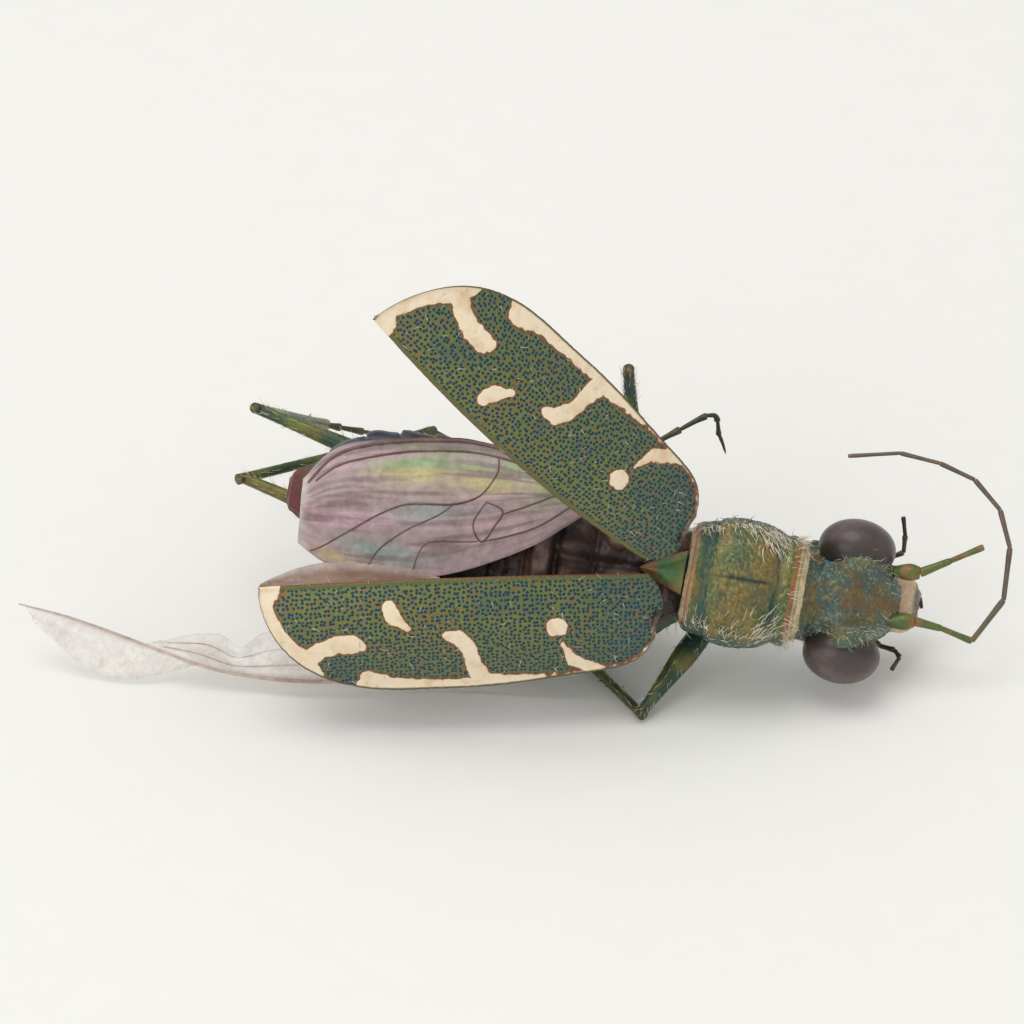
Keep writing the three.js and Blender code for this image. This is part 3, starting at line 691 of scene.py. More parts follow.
def makeElytron(side, material):
    rows, columns = elytron["rows"], elytron["columns"]
    t = np.linspace(0, 1, rows)
    u = (0.35 * t + 0.65 * (0.5 - 0.5 * np.cos(np.pi * t)))[:, None] + np.zeros((1, columns))
    v = np.linspace(0, 1, columns)[None] + np.zeros((rows, 1))
    local = elytronLocal(u, v)
    out = gridNormals(local)
    out *= np.sign(out[rows // 2, columns // 3, 2])
    flat, flatOut = local.reshape(-1, 3), out.reshape(-1, 3)
    x, y = flat[:, 0], flat[:, 1]
    strides = np.linalg.norm(np.diff(local, axis=1), axis=2)
    seam = np.cumsum(np.concatenate([np.zeros((rows, 1)), strides], 1), 1).ravel()
    cream = np.maximum(strokeField(x, y), edgeField(x, y, u.ravel()))
    cream += 0.028 * cloud(flat, 0.12, 3, 40 + len(side))
    inset = elytronWide(u).ravel() - y
    relief = (0.05 * bump(inset, 0.0, 0.035) + 0.03 * bump(seam, 0.04, 0.04)
              + 0.01 * cloud(flat, 0.1, 3, 45) + 0.01 * ease(cream, 0.0, 0.04))
    upper = flat + flatOut * relief[:, None]
    depth = elytron["thick"] * (0.35 + 0.65 * np.sqrt(np.clip(np.minimum(inset, seam) / 0.1, 0, 1)))
    lower = flat - flatOut * depth[:, None]
    lower += flatOut * (0.01 * cloud(lower, 0.3, 3, 46))[:, None]
    points = elytronToBody(side, np.vstack([upper, lower]))
    values = {"cream": twice(cream), "inset": twice(inset), "seam": twice(seam), "along": twice(x),
              "under": np.concatenate([np.zeros(len(upper)), np.ones(len(lower))])}
    whole = points[:len(upper)].reshape(rows, columns, 3)
    lift = elytronToBody(side, flat + flatOut) - elytronToBody(side, flat)
    skins["elytron" + side.title()] = (whole, lift.reshape(rows, columns, 3), v * math.pi)
    makePiece("elytronSkin" + side.title(), (points, slabFaces(rows, columns)), material,
              ["elytron_" + side], values=values)


def elytronMaterial():  # green with rows of navy pits, brown between them, and cream marks
    look = elytron
    material, tree, shader = newMaterial("elytronCuticle", roughness=0.44, coatWeight=0.06,
                                         coatRoughness=0.3)
    cream, seam, along, inset = [attribute(tree, name) for name in ("cream", "seam", "along", "inset")]
    spot = objectSpot(tree)
    flat = put(tree, "ShaderNodeCombineXYZ", {"X": along, "Y": seam}).outputs[0]
    pits = put(tree, "ShaderNodeTexVoronoi", {"Vector": flat, "Scale": 1 / look["pitSpacing"],
                                              "Randomness": look["pitWander"]}, voronoi_dimensions="2D")
    reach = pits.outputs["Distance"]
    base = mottled(tree, look["green"], look["brown"], look["blue"], 900.0, 0.45, 12000.0)
    fleck = speckle(tree, spot, 6000.0, 2.0)
    ridges = times(tree, stepped(tree, reach, 0.42, 0.6), stepped(tree, fleck, 0.45, 0.6))
    paleNoise = speckle(tree, spot, 2600.0, 4.0)
    pale = blendColours(tree, stepped(tree, paleNoise, 0.45, 0.75), look["cream"], look["stain"])
    belly = blendColours(tree, stepped(tree, cream, -0.05, 0.05), look["under"], look["paleUnder"])
    colour = layered(tree, base.outputs["Colour"], [
        (times(tree, stepped(tree, along, 2.0, 0.3), 0.55), look["blue"]),
        (times(tree, ridges, 0.75), look["brown"]),
        (times(tree, stepped(tree, inset, 1.1, 0.1), 0.28), look["blue"]),
        (stepped(tree, reach, 0.46, 0.32), look["teal"]),
        (stepped(tree, reach, 0.33, 0.24), look["navy"]),
        (stepped(tree, seam, 0.12, 0.08), look["bevel"]),
        (stepped(tree, seam, 0.045, 0.02), look["rust"]),
        (stepped(tree, cream, -0.045, -0.012), look["rust"]),
        (stepped(tree, cream, -0.006, 0.012), pale),
        (stepped(tree, inset, 0.03, 0.012), look["rim"]),
        (attribute(tree, "under"), belly)])
    tree.links.new(colour, shader.inputs["Base Color"])
    green = stepped(tree, cream, 0.0, -0.03)
    tree.links.new(times(tree, green, 0.2), shader.inputs["Metallic"])
    hollow = times(tree, stepped(tree, reach, 0.42, 0.16), green)
    height = reckon(tree, "SUBTRACT", times(tree, base.outputs["Height"], 0.5), hollow)
    bumped(tree, shader, height, 0.7, 0.000012)
    return material


def makeElytra():
    material = elytronMaterial()
    for side in ("left", "right"):
        makeElytron(side, material)
    print("elytra made")


makeElytra()

# Mouthparts and antennae

mouth = {
    "lipMottle": (colour4(190, 158, 122), colour4(228, 206, 176), 2600.0, 0.4, 9000.0),
    "hornMottle": (colour4(150, 108, 60), colour4(40, 44, 46), 2200.0, 0.35, 9000.0),
    "lipSheen": {"roughness": 0.4}, "hornSheen": {"metallic": 0.15, "roughness": 0.36},
    "labrum": [(4.6, 0.36, -2.34, 0.24, 0.05, 0.06), (4.54, 0.36, -2.32, 0.42, 0.1, 0.1),
               (4.35, 0.35, -2.26, 0.54, 0.17, 0.16), (4.0, 0.33, -2.18, 0.52, 0.2, 0.18),
               (3.8, 0.3, -2.14, 0.42, 0.14, 0.14)],
    "teeth": {"depth": 0.03, "pitch": 0.26, "middle": 0.36}, "cream": srgb(216, 188, 156),
    "edge": srgb(112, 108, 104), "brown": srgb(150, 112, 70), "green": srgb(92, 108, 50),
    "orange": srgb(150, 98, 54), "dull": srgb(104, 90, 80), "dark": srgb(50, 42, 38)}
mandible = {
    "radii": [0.16, 0.15, 0.11, 0.07, 0.025],
    "left": [(3.7, 0.72, -2.72), (4.1, 0.8, -2.82), (4.4, 0.76, -2.88), (4.6, 0.58, -2.9),
             (4.7, 0.4, -2.9)],
    "right": [(3.75, 0.0, -2.76), (4.1, -0.02, -2.88), (4.36, 0.02, -2.94), (4.54, 0.14, -2.94),
              (4.62, 0.26, -2.92)]}
palp = {
    "radii": [0.06, 0.055, 0.05, 0.048, 0.04],
    "left": [(3.6, 0.9, -2.6), (3.85, 1.2, -2.6), (4.15, 1.38, -2.5), (4.12, 1.7, -2.36),
             (4.02, 2.04, -2.26)],
    "right": [(3.7, -0.3, -2.6), (4.0, -0.48, -2.58), (4.3, -0.52, -2.5), (4.42, -0.64, -2.46),
              (4.3, -0.92, -2.42)]}
antenna = {
    "radii": [0.13, 0.11, 0.064, 0.064, 0.06, 0.056, 0.053, 0.05, 0.047, 0.044, 0.04],
    "left": [(4.0, 0.92, -1.72), (4.5, 0.97, -1.68), (5.05, 1.3, -1.6), (5.62, 1.66, -1.5)],
    "right": [(4.05, -0.06, -1.76), (4.55, 0.04, -1.78), (5.1, 0.0, -1.88), (5.72, -0.13, -2),
              (6.19, 0.76, -2), (6.14, 1.78, -2), (5.83, 2.47, -2), (5.25, 2.96, -2), (4.53, 3.16, -2),
              (3.74, 3.22, -2), (2.76, 2.99, -2)]}


def jointedRod(points, radii, swell):  # segments that widen a little at their far ends
    parts, share = [], []
    last = len(points) - 1
    for i in range(last):
        a, b = np.array(points[i], float), np.array(points[i + 1], float)
        ends = [a + (b - a) * t for t in (0.0, 0.08, 0.5, 0.9, 1.0)]
        r0, r1 = radii[i], radii[i + 1]
        wide = [r0 * 0.72, r0 * 0.85, (r0 + r1) / 2 * 0.9, r1 * (1 + swell), r1 * 0.85]
        parts.append(shell(tube(ends, wide, 12, 8)))
        share.append(np.full(len(parts[-1][0]), (i + 0.5) / last))
    return joined(parts), np.concatenate(share)


def makeLabrum():
    grid = sections(mouth["labrum"], 60, 90, 2.1)[0]
    teeth = mouth["teeth"]
    wave = np.cos((grid[..., 1] - teeth["middle"]) * 2 * math.pi / teeth["pitch"])
    grid[..., 0] += teeth["depth"] * wave * ease(grid[..., 0], 4.45, 4.6)
    points, faces = shell(grid)
    tint = painted(mouth, "cream", [
        ("edge", ease(points[:, 0], 4.44, 4.54)), ("brown", 0.4 * ease(points[:, 0], 4.1, 3.9))])
    lip = mottledMaterial("labrumCuticle", mouth["lipMottle"], mouth["lipSheen"])[0]
    makePiece("labrumSkin", (points, faces), lip, ["labrum"], tint)


def makeAntenna(side, material):
    path = antenna[side]
    rod, share = jointedRod(path, antenna["radii"][:len(path)], 0.06)
    base, knee = np.array(path[0]), np.array(path[1])
    scape = shell(tube([base, base * 0.4 + knee * 0.6, knee], [0.1, 0.17, 0.12], 18, 10))
    socket = shell(tube([base - [0.3, 0, 0.08], base], [0.14, 0.11], 14, 6))
    whole = joined([rod, scape, socket])
    share = np.concatenate([share, np.zeros(len(scape[0]) + len(socket[0]))])
    share *= 1 if side == "right" else 0.25
    stain = ease(cloud(whole[0], 0.3, 2, 51), 0.0, 0.35) * ease(share, 0.42, 0.1)
    tint = painted(mouth, "dull", [("green", ease(share, 0.42, 0.2)), ("orange", 0.7 * stain)])
    makePiece("antennaSkin" + side.title(), whole, material, ["antenna_" + side], tint)


def makeMouth():
    horn = mottledMaterial("hornCuticle", mouth["hornMottle"], mouth["hornSheen"])[0]
    makeLabrum()
    for side in ("left", "right"):
        jaw = shell(tube(mandible[side], mandible["radii"], 16, 10, 0.8))
        tint = painted(mouth, "brown", [("dark", ease(jaw[0][:, 0], 4.2, 4.7))])
        makePiece("mandibleSkin" + side.title(), jaw, horn, ["mandible_" + side], tint)
        rod, share = jointedRod(palp[side], palp["radii"], 0.18)
        tint = painted(mouth, "dark", [("green", 0.6 * ease(share, 0.5, 0.2))])
        makePiece("palpSkin" + side.title(), rod, horn, ["palp_" + side], tint)
        makeAntenna(side, horn)
    print("mouth and antennae made")


makeMouth()

# Legs

leg = {
    "mottle": (colour4(128, 108, 56), colour4(44, 62, 54), 1800.0, 0.35, 9000.0),
    "sheen": {"metallic": 0.3, "roughness": 0.36},
    "hip": (0.34, 0.38, 0.32, 0.18), "femur": (0.14, 0.22, 0.24, 0.17, 0.12, 0.11), "femurBow": 0.06,
    "tibia": (0.11, 0.1, 0.095, 0.1, 0.12), "foot": 0.072, "footJoints": 5,
    "claw": (0.04, 0.035, 0.025, 0.006), "clawLength": 0.34, "spur": (0.022, 0.016, 0.003), "spurs": 11,
    "spurLength": 0.2, "lastSpurLength": 0.34, "hairs": 210, "hairRows": 7, "floorGap": 0.012,
    "green": srgb(62, 82, 46), "copper": srgb(136, 100, 50), "yellow": srgb(124, 128, 48),
    "dark": srgb(62, 60, 50), "teal": srgb(46, 74, 64), "tip": srgb(84, 64, 50)}
# hip, knee, ankle and foot
legJoints = {
    "fore_left": [(0.8, 0.62, -2.3), fromFloor(1.63, 3.95, 0.75), fromFloor(3.5, 5.3, 0.14),
                  fromFloor(1.3, 5.4, 0.08)],
    "fore_right": [(0.8, -0.4, -2.3), fromFloor(-0.78, -0.42, 0.2), fromFloor(-2.1, 1.9, 0.12),
                   fromFloor(-4.2, 3.3, 0.08)],
    "middle_left": [(-0.95, 0.75, -2.75), fromFloor(-1, 4.05, 5.11), fromFloor(-0.9, 5.5, 2.12),
                    fromFloor(-0.11, 5.91, 2.36), fromFloor(0.69, 6.29, 2.56), fromFloor(0.83, 6.32, 2.08)],
    "middle_right": [(-0.95, -0.75, -2.75), fromFloor(-2, 4.65, 0.3), fromFloor(-4.9, 5.2, 0.12),
                     fromFloor(-6.4, 3.4, 0.08)],
    "hind_left": [(-3.1, 0.7, -2.85), (-8.7, 2.02, -3.12), fromFloor(-7, 8.3, 0.95),
                  fromFloor(-5, 8.9, 0.08)],
    "hind_right": [(-3.1, -0.7, -2.85), (-8.72, 0.64, -3.15), fromFloor(-4.8, 6.7, 1.88),
                   fromFloor(-1.2, 5.6, 0.08)]}
legHairs = []


def legHair(femur, knee, ankle, draw):  # oblique rows along the femur, sparser on the tibia
    count = leg["hairs"]
    share = draw.uniform(0.08, 1.5, count)
    femur = np.array(femur)
    onFemur = share < 1
    place = np.where(onFemur[:, None], between(femur, np.minimum(share, 1)),
                     knee + (ankle - knee) * ((share - 1) * 2)[:, None])
    femurRadius = np.interp(share, np.linspace(0, 1, len(leg["femur"])), leg["femur"])
    radius = np.where(onFemur, femurRadius, leg["tibia"][2])
    along = unit(np.where(onFemur[:, None], femur[-1] - femur[0], ankle - knee))
    first = unit(np.cross(along, anySide))
    second = np.cross(along, first)
    rows = leg["hairRows"]
    turnAt = draw.integers(0, rows, count) / rows * 2 * math.pi + draw.normal(0, 0.12, count)
    out = first * np.cos(turnAt)[:, None] + second * np.sin(turnAt)[:, None]
    aims = unit(0.42 * out + 0.9 * along + draw.normal(0, 0.12, out.shape))
    uvs = np.stack([turnAt / rows, share / 2, 0 * share], 1)
    reaches = np.where(onFemur, draw.uniform(0.12, 0.24, count), draw.uniform(0.1, 0.18, count))
    return place + out * (radius * 0.94)[:, None], aims, reaches, uvs


def makeLeg(pair, side, material):
    hip, knee, ankle, *bends = [np.array(p, float) for p in legJoints[pair + "_" + side]]
    draw = np.random.default_rng(len(pair) * 7 + len(side))
    parts, tone = [], []

    def along(a, b, t):
        return a + (b - a) * t

    def grow(path, radii, sides, steps, value, flat=1.0):
        parts.append(shell(tube(path, radii, sides, steps, flat)))
        tone.append(np.full(len(parts[-1][0]), value))

    grow([hip + [0.1, 0, 0.35], hip + [0.05, 0, 0.12], hip, along(hip, knee, 0.06)], leg["hip"], 22, 8, 0.1)
    bow = np.array([0, 0, leg["femurBow"]])
    femur = [along(hip, knee, t) + bow * math.sin(math.pi * t) for t in (0.03, 0.2, 0.42, 0.68, 0.9, 1.0)]
    grow(femur, leg["femur"], 22, 10, 0.3, 0.86)
    grow([along(knee, ankle, t) for t in (-0.03, 0.08, 0.4, 0.8, 1.0)], leg["tibia"], 16, 10, 0.6)
    route = np.array([ankle, *bends])
    for i in range(leg["footJoints"]):
        spots = between(route, np.array([i, i + 0.1, i + 0.55, i + 0.94, i + 1.0]) / leg["footJoints"])
        r = leg["foot"] * (1 - 0.07 * i)
        grow(spots, [r * 0.55, r * 0.72, r * 0.88, r * 1.15, r * 0.8], 12, 5, 0.85)
    end, ahead = route[-1], unit(route[-1] - route[-2])
    aside = unit(np.cross(ahead, floorUp))
    size = leg["clawLength"]
    for way in (-1, 1):
        claw = [end, end + ahead * size * 0.4 + aside * way * 0.1 + floorUp * 0.03,
                end + ahead * size * 0.8 + aside * way * 0.18,
                end + ahead * size + aside * way * 0.2 - floorUp * 0.03]
        grow(claw, leg["claw"], 8, 4, 1.0)
    shin = unit(ankle - knee)
    for k in range(leg["spurs"]):
        root = along(knee, ankle, 0.12 + 0.86 * k / (leg["spurs"] - 1))
        out = unit(np.cross(shin, draw.normal(size=3)))
        size = leg["spurLength"] if k < leg["spurs"] - 2 else leg["lastSpurLength"]
        tip = root + out * size * 0.8 + shin * size * 0.7
        grow([root, along(root, tip, 0.5), tip], leg["spur"], 6, 2, 1.0)
    legHairs.append((pair, side, *legHair(femur, knee, ankle, draw)))
    points, faces = joined(parts)
    points = keptAbove(points, leg["floorGap"])
    tone = np.concatenate(tone)
    drift = cloud(points, 0.55, 3, 60 + len(pair))
    tint = painted(leg, "green", [
        ("teal", ease(drift, 0.05, 0.5) * (tone < 0.4)),
        ("copper", 0.5 * ease(-drift, 0.0, 0.6) * (tone < 0.7)),
        ("yellow", 0.6 * ease(cloud(points, 0.4, 2, 62), 0.1, 0.5) * (tone < 0.7)),
        ("dark", 0.75 * (tone > 0.7)),
        ("tip", 0.8 * (tone > 0.95)),
        ("tip", bump(np.linalg.norm(points - knee, axis=1), 0, 0.16))])
    makePiece("legSkin" + pair.title() + side.title(), (points, faces), material,
              ["leg_" + pair + "_" + side], tint, sort=False)


def makeLegs():
    material = mottledMaterial("legCuticle", leg["mottle"], leg["sheen"])[0]
    for pair in ("fore", "middle", "hind"):
        for side in ("left", "right"):
            makeLeg(pair, side, material)
    print("legs made")


makeLegs()

# Hind wings

wing = {
    "mottle": (colour4(150, 124, 122), colour4(214, 190, 196), 1600.0, 0.22, 6000.0),
    "sheen": {"roughness": 0.42, "coatWeight": 0.12, "coatRoughness": 0.25}, "relief": (0.4, 0.000015),
    "thick": 0.03, "rows": 150, "columns": 110, "aboveColumns": 70, "belowColumns": 60, "flapRows": 80,
    "flapColumns": 24, "floorGap": 0.01, "mauve": srgb(174, 148, 150), "pink": srgb(192, 156, 166),
    "green": srgb(146, 180, 122), "gold": srgb(206, 192, 120), "teal": srgb(128, 164, 152),
    "smoke": srgb(134, 112, 110), "clear": srgb(238, 233, 226), "rosy": srgb(196, 172, 164),
    "brown": srgb(150, 118, 98), "pale": srgb(212, 202, 196), "dark": srgb(72, 58, 54)}
foldedLeading = [(-2.38, 1.34, 0), (-3.27, 1.75, -0.5), (-4.4, 1.92, -0.78), (-5.8, 1.72, -0.8),
                 (-6.9, 1.34, -0.7), (-7.48, 0.6, -0.5)]
foldedTrailing = [(-2.1, 0.75, 0.05), (-3.0, 0.0, -0.12), (-4.35, -0.72, -0.32), (-5.5, -0.98, -0.38),
                  (-6.67, -0.95, -0.4), (-7.35, -0.62, -0.45)]
# the spread wing's rows are x and y from the spot below the beetle's origin, and height above the floor
spreadFront = [(-2.34, 0.24, 0.65), (-4.63, 0.47, 0.36), (-7.02, 0.41, 0.34), (-8.28, 0.55, 0.36),
               (-9.3, 0.7, 0.52), (-10.37, 1.03, 0.79), (-11.77, 1.48, 1.09), (-12.81, 1.8, 1.19)]
spreadAbove = [(-3.3, 0.62, 0.82), (-4.63, 1.23, 0.8), (-6.59, 1.48, 0.95), (-7.94, 1.47, 0.76),
               (-8.52, 1.2, 0.58), (-9.01, 1.45, 0.74), (-10.06, 1.12, 0.8)]
spreadBelow = [(-9.5, 0.78, 0.4), (-10.0, 0.84, 0.22), (-10.8, 0.8, 0.12), (-11.5, 0.98, 0.26),
               (-12.15, 1.34, 0.68), (-12.5, 1.6, 0.9)]
# shares of the spread wing's front that carry its upper and its lower sheet
aboveSpan, belowSpan = (0, 5 / 7), (4 / 7, 0.97)
# along and across the folded wing, and radius
foldedVeins = {
    "costal": ([(0.02, 0.06), (0.2, 0.03), (0.4, 0.02), (0.6, 0.03), (0.8, 0.06), (0.95, 0.14)], 0.038),
    "second": ([(0.1, 0.14), (0.3, 0.1), (0.5, 0.1), (0.7, 0.14), (0.9, 0.2)], 0.026),
    "long": ([(0.9, 0.97), (0.75, 0.72), (0.59, 0.5), (0.43, 0.49), (0.35, 0.42), (0.31, 0.24),
              (0.31, 0.1)], 0.021),
    "branch": ([(0.43, 0.5), (0.47, 0.57), (0.56, 0.67), (0.64, 0.81), (0.68, 0.99)], 0.016),
    "cell": ([(0.33, 0.48), (0.28, 0.57), (0.3, 0.7), (0.33, 0.8), (0.36, 0.64), (0.33, 0.48)], 0.02),
    "out": ([(0.28, 0.6), (0.16, 0.51), (0.02, 0.3)], 0.02),
    "low": ([(0.33, 0.8), (0.16, 0.8), (0.03, 0.64)], 0.02),
    "tail": ([(0.53, 0.99), (0.49, 0.76), (0.34, 0.79)], 0.015)}
vein = {
    "dark": colour4(108, 82, 72), "pale": colour4(196, 178, 168), "relief": (0.4, 0.00001),
    "darkMottle": (colour4(136, 108, 92), colour4(78, 60, 54), 1500.0, 0.6, 8000.0),
    "paleMottle": (colour4(210, 198, 188), colour4(168, 140, 130), 900.0, 0.7, 6000.0),
    "darkSheen": {"roughness": 0.45}, "paleSheen": {"roughness": 0.5}}
# the brown edge of the right hind wing that shows along the suture of its elytron
flapTop = [(-7.91, -1.56, -0.1), (-7.22, -1.11, -0.3), (-6.4, -0.84, -0.4), (-5.35, -0.74, -0.4),
           (-4.56, -0.84, -0.3)]
flapFoot = [(-7.92, -1.64, -0.1), (-7.16, -1.5, 0.0), (-6.3, -1.36, 0.1), (-5.29, -1.2, 0.1),
            (-4.5, -1.0, 0.1)]


def foldedPlace(u, v):
    a, b = between(foldedLeading, u), between(foldedTrailing, u)
    here = a + (b - a) * v[..., None]
    here[..., 2] += 0.22 * np.sin(np.pi * np.clip(v, 0, 1))
    return here


def fromFloorRows(rows):
    return (rows - [0, 0, seat[2]]) @ turn


def spreadPlace(span, edge):
    def place(u, v):
        a, b = between(spreadFront, span[0] + (span[1] - span[0]) * u), between(edge, u)
        return fromFloorRows(a + (b - a) * v[..., None])
    return place


def flapPlace(u, v):
    return between(flapTop, u) * (1 - v[..., None]) + between(flapFoot, u) * v[..., None]


def makeSheet(place, relief, rows, columns):
    u = np.linspace(0, 1, rows)[:, None] + np.zeros((1, columns))
    v = np.linspace(0, 1, columns)[None] + np.zeros((rows, 1))
    grid = place(u, v)
    out = gridNormals(grid)
    grid = grid + out * relief(u, v, grid)[..., None]
    half = out * wing["thick"] / 2
    points = np.vstack([(grid + half).reshape(-1, 3), (grid - half).reshape(-1, 3)])
    return (points, slabFaces(rows, columns)), u.ravel(), v.ravel()


def foldedRelief(u, v, grid):
    flat = grid.reshape(-1, 3)
    fan = cloud(np.stack([u * 1.2, v * 7, 0 * u], -1).reshape(-1, 3), 1.0, 3, 71)
    crease = 0.02 * bump(v, 0.32 + 0.1 * u, 0.04) * ease(u, 0.1, 0.3) - 0.02 * bump(v, 0.62 - 0.1 * u, 0.04)
    waves = 0.018 * fan + 0.01 * cloud(flat, 0.16, 3, 72) + 0.04 * cloud(flat, 0.9, 2, 73)
    return waves.reshape(u.shape) + crease


def spreadRelief(u, v, grid):
    fan = cloud(np.stack([u * 5, v * 2, 0 * u], -1).reshape(-1, 3), 1.0, 3, 75)
    waves = 0.05 * fan + 0.02 * cloud(grid.reshape(-1, 3), 0.3, 3, 76)
    return waves.reshape(u.shape) * ease(v, 0.0, 0.2)


def foldedTint(u, v):  # mauve with painted iridescent sheen: gold and green along its front and blue-green towards its rear
    streaks = cloud(np.stack([u * 2.2, v * 9, 0 * u], 1), 1.0, 3, 77)
    lines = cloud(np.stack([u * 3 + v, v * 16, 0 * u], 1), 1.0, 3, 78)
    drift = cloud(np.stack([u * 4, v * 4, 0 * u], 1), 1.0, 3, 79)
    front = ease(u, 0.05, 0.18) * ease(u, 0.78, 0.55) * ease(drift, -0.7, -0.1)
    return painted(wing, "mauve", [
        ("pink", ease(streaks, -0.1, 0.4) * ease(u, 0.1, 0.25)),
        # the gold, green and teal bands are painted iridescent sheen, in place of the wing's thin-film
        # reflections; the mauve, pink, smoke, dark and pale are the membrane's own colours
        ("gold", 0.85 * bump(v, 0.3 + 0.1 * streaks, 0.1) * front),
        ("green", 0.95 * bump(v, 0.17 + 0.08 * streaks, 0.08) * front),
        ("green", 0.8 * bump(u, 0.08, 0.12) * bump(v, 0.4, 0.22)),
        ("teal", 0.8 * bump(v, 0.84 - 0.3 * (u - 0.6), 0.08) * bump(u, 0.62, 0.16)),
        ("teal", 0.6 * bump(v, 0.56, 0.1) * bump(u, 0.5, 0.12)),
        ("gold", 0.6 * bump(v, 0.93, 0.06) * bump(u, 0.8, 0.1)),
        ("smoke", 0.8 * ease(lines, 0.0, 0.4)),
        ("dark", bump(v, 0.0, 0.06) * ease(u, 0.8, 0.6)),
        ("pale", 0.8 * ease(u + 0.06 * drift, 0.9, 0.99))])


def wingMaterial():  # a thin skin in its own tint, as clear as its veil value says
    material, tree, shader, node = mottledMaterial("wingMembrane", wing["mottle"], wing["sheen"],
                                                   wing["relief"])
    patches = reckon(tree, "SUBTRACT", times(tree, node.outputs["Patches"], 0.1), 0.05)
    tree.links.new(reckon(tree, "ADD", patches, attribute(tree, "veil")), shader.inputs["Alpha"])
    return material


def finishTree(tree, result, geometry, material):
    done = put(tree, "GeometryNodeSetMaterial", {"Geometry": geometry, "Material": material})
    tree.links.new(done.outputs[0], result.inputs[0])
    return tree


def named(tree, key, kind):
    return put(tree, "GeometryNodeInputNamedAttribute", {"Name": key}, data_type=kind).outputs[0]


def veinTree(material):  # rods along edges, as thick as the radius attribute says
    tree, source, result = newTree("veinRods", "GeometryNodeTree", [("Geometry", "Geometry")],
                                   [("Geometry", "Geometry")])
    curve = put(tree, "GeometryNodeMeshToCurve", {0: source.outputs[0]})
    ring = put(tree, "GeometryNodeCurvePrimitiveCircle", {"Resolution": 8, "Radius": 1.0})
    rods = put(tree, "GeometryNodeCurveToMesh", {
        "Curve": curve.outputs[0], "Profile Curve": ring.outputs[0], "Scale": named(tree, "radius", "FLOAT"),
        "Fill Caps": True})
    smooth = put(tree, "GeometryNodeSetShadeSmooth", {"Geometry": rods.outputs[0]})
    return finishTree(tree, result, smooth.outputs[0], material)


def grown(name, points, edges, values, tree, numbers):  # what the tree makes, as a plain mesh
    mesh = bpy.data.meshes.new(name)
    mesh.from_pydata(stagePoints(points).tolist(), edges, [])
    for key, kind, data in values:
        field = "vector" if kind == "FLOAT_VECTOR" else "value"
        layer = mesh.attributes.new(key, kind, "POINT")
        layer.data.foreach_set(field, np.asarray(data, np.float32).ravel())
    carrier = linked(name, mesh)
    modifier = carrier.modifiers.new(name, "NODES")
    modifier.node_group = tree
    for item in tree.interface.items_tree:
        if item.name in numbers:
            modifier[item.identifier] = numbers[item.name]
    mesh = bpy.data.meshes.new_from_object(carrier.evaluated_get(bpy.context.evaluated_depsgraph_get()))
    carrier.modifiers.clear()
    bpy.data.objects.remove(carrier)
    mesh.name = name
    piece = linked(name, mesh)
    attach(piece, "root")


def makeVeins(name, lines, material):  # lines: lists of body points with radii
    points, edges, radii = [], [], []
    for path, wide in lines:
        start = len(points)
        points += path.tolist()
        radii += wide.tolist()
        edges += [(start + k, start + k + 1) for k in range(len(path) - 1)]
    radii = np.array(radii, np.float32) * millimetre
    grown(name, points, edges, [("radius", "FLOAT", radii)], veinTree(material), {})


def veinMaterial(name, shade):
    mottle, sheen = vein[shade + "Mottle"], vein[shade + "Sheen"]
    return mottledMaterial(name, mottle, sheen, vein["relief"], vein[shade])[0]


def makeFoldedWing(skin):
    rows, columns = wing["rows"], wing["columns"]
    mesh, u, v = makeSheet(foldedPlace, foldedRelief, rows, columns)
    veil = 0.94 - 0.35 * ease(u, 0.93, 1.0) * ease(v, 0.6, 0.9)
    makePiece("foldedWing", mesh, skin, ["hind_wing_left"], twice(foldedTint(u, v)),
              {"veil": twice(veil)})
    lines = []
    for path, wide in foldedVeins.values():
        t = np.linspace(0, 1, 8 * len(path))
        uv = between(path, t)
        i, j = np.clip((uv * [rows - 1, columns - 1]).round().astype(int), 0, [rows - 1, columns - 1]).T
        near = i * columns + j
        height = mesh[0][near] - foldedPlace(u[near], v[near])
        lines.append((foldedPlace(uv[:, 0], uv[:, 1]) + height, wide * (0.7 + 0.3 * np.sin(np.pi * t))))
    makeVeins("foldedVeins", lines, veinMaterial("veinHorn", "dark"))


def makeSpreadWing(skin):
    above = makeSheet(spreadPlace(aboveSpan, spreadAbove), spreadRelief, wing["rows"], wing["aboveColumns"])
    below = makeSheet(spreadPlace(belowSpan, spreadBelow), spreadRelief, wing["rows"], wing["belowColumns"])
    points, faces = joined([above[0], below[0]])
    points = keptAbove(points, wing["floorGap"])
    across = np.concatenate([twice(above[2]), twice(below[2])])
    rosy = np.maximum(ease(across, 0.16, 0.0), 0.6 * ease(cloud(points, 0.9, 2, 80), 0.1, 0.5))
    makePiece("spreadWing", (points, faces), skin, ["hind_wing_right"],
              painted(wing, "clear", [("rosy", rosy)]), {"veil": 0.36 + 0.36 * ease(across, 0.12, 0.0)},
              sort=False)


def makeSpreadVeins():
    place = spreadPlace(aboveSpan, spreadAbove)
    t = np.linspace(0, 1, 60)
    lines = [(fromFloorRows(between(spreadFront, t)), 0.045 * (1 - 0.7 * t))]
    for share, size in ((0.3, 0.014), (0.62, 0.012)):
        s = np.linspace(0.02, 0.95, 40)
        lines.append((place(s, np.full(len(s), share)), np.full(len(s), size)))
    makeVeins("spreadVeins", lines, veinMaterial("paleVein", "pale"))


def makeFlap(skin):
    sheet = makeSheet(flapPlace, spreadRelief, wing["flapRows"], wing["flapColumns"])
    mesh, v = sheet[0], sheet[2]
    tint = painted(wing, "brown", [("pale", twice(0.7 * ease(v, 0.5, 0.0)))])
    makePiece("wingFlap", mesh, skin, (), tint, {"veil": np.full(len(mesh[0]), 0.8)})


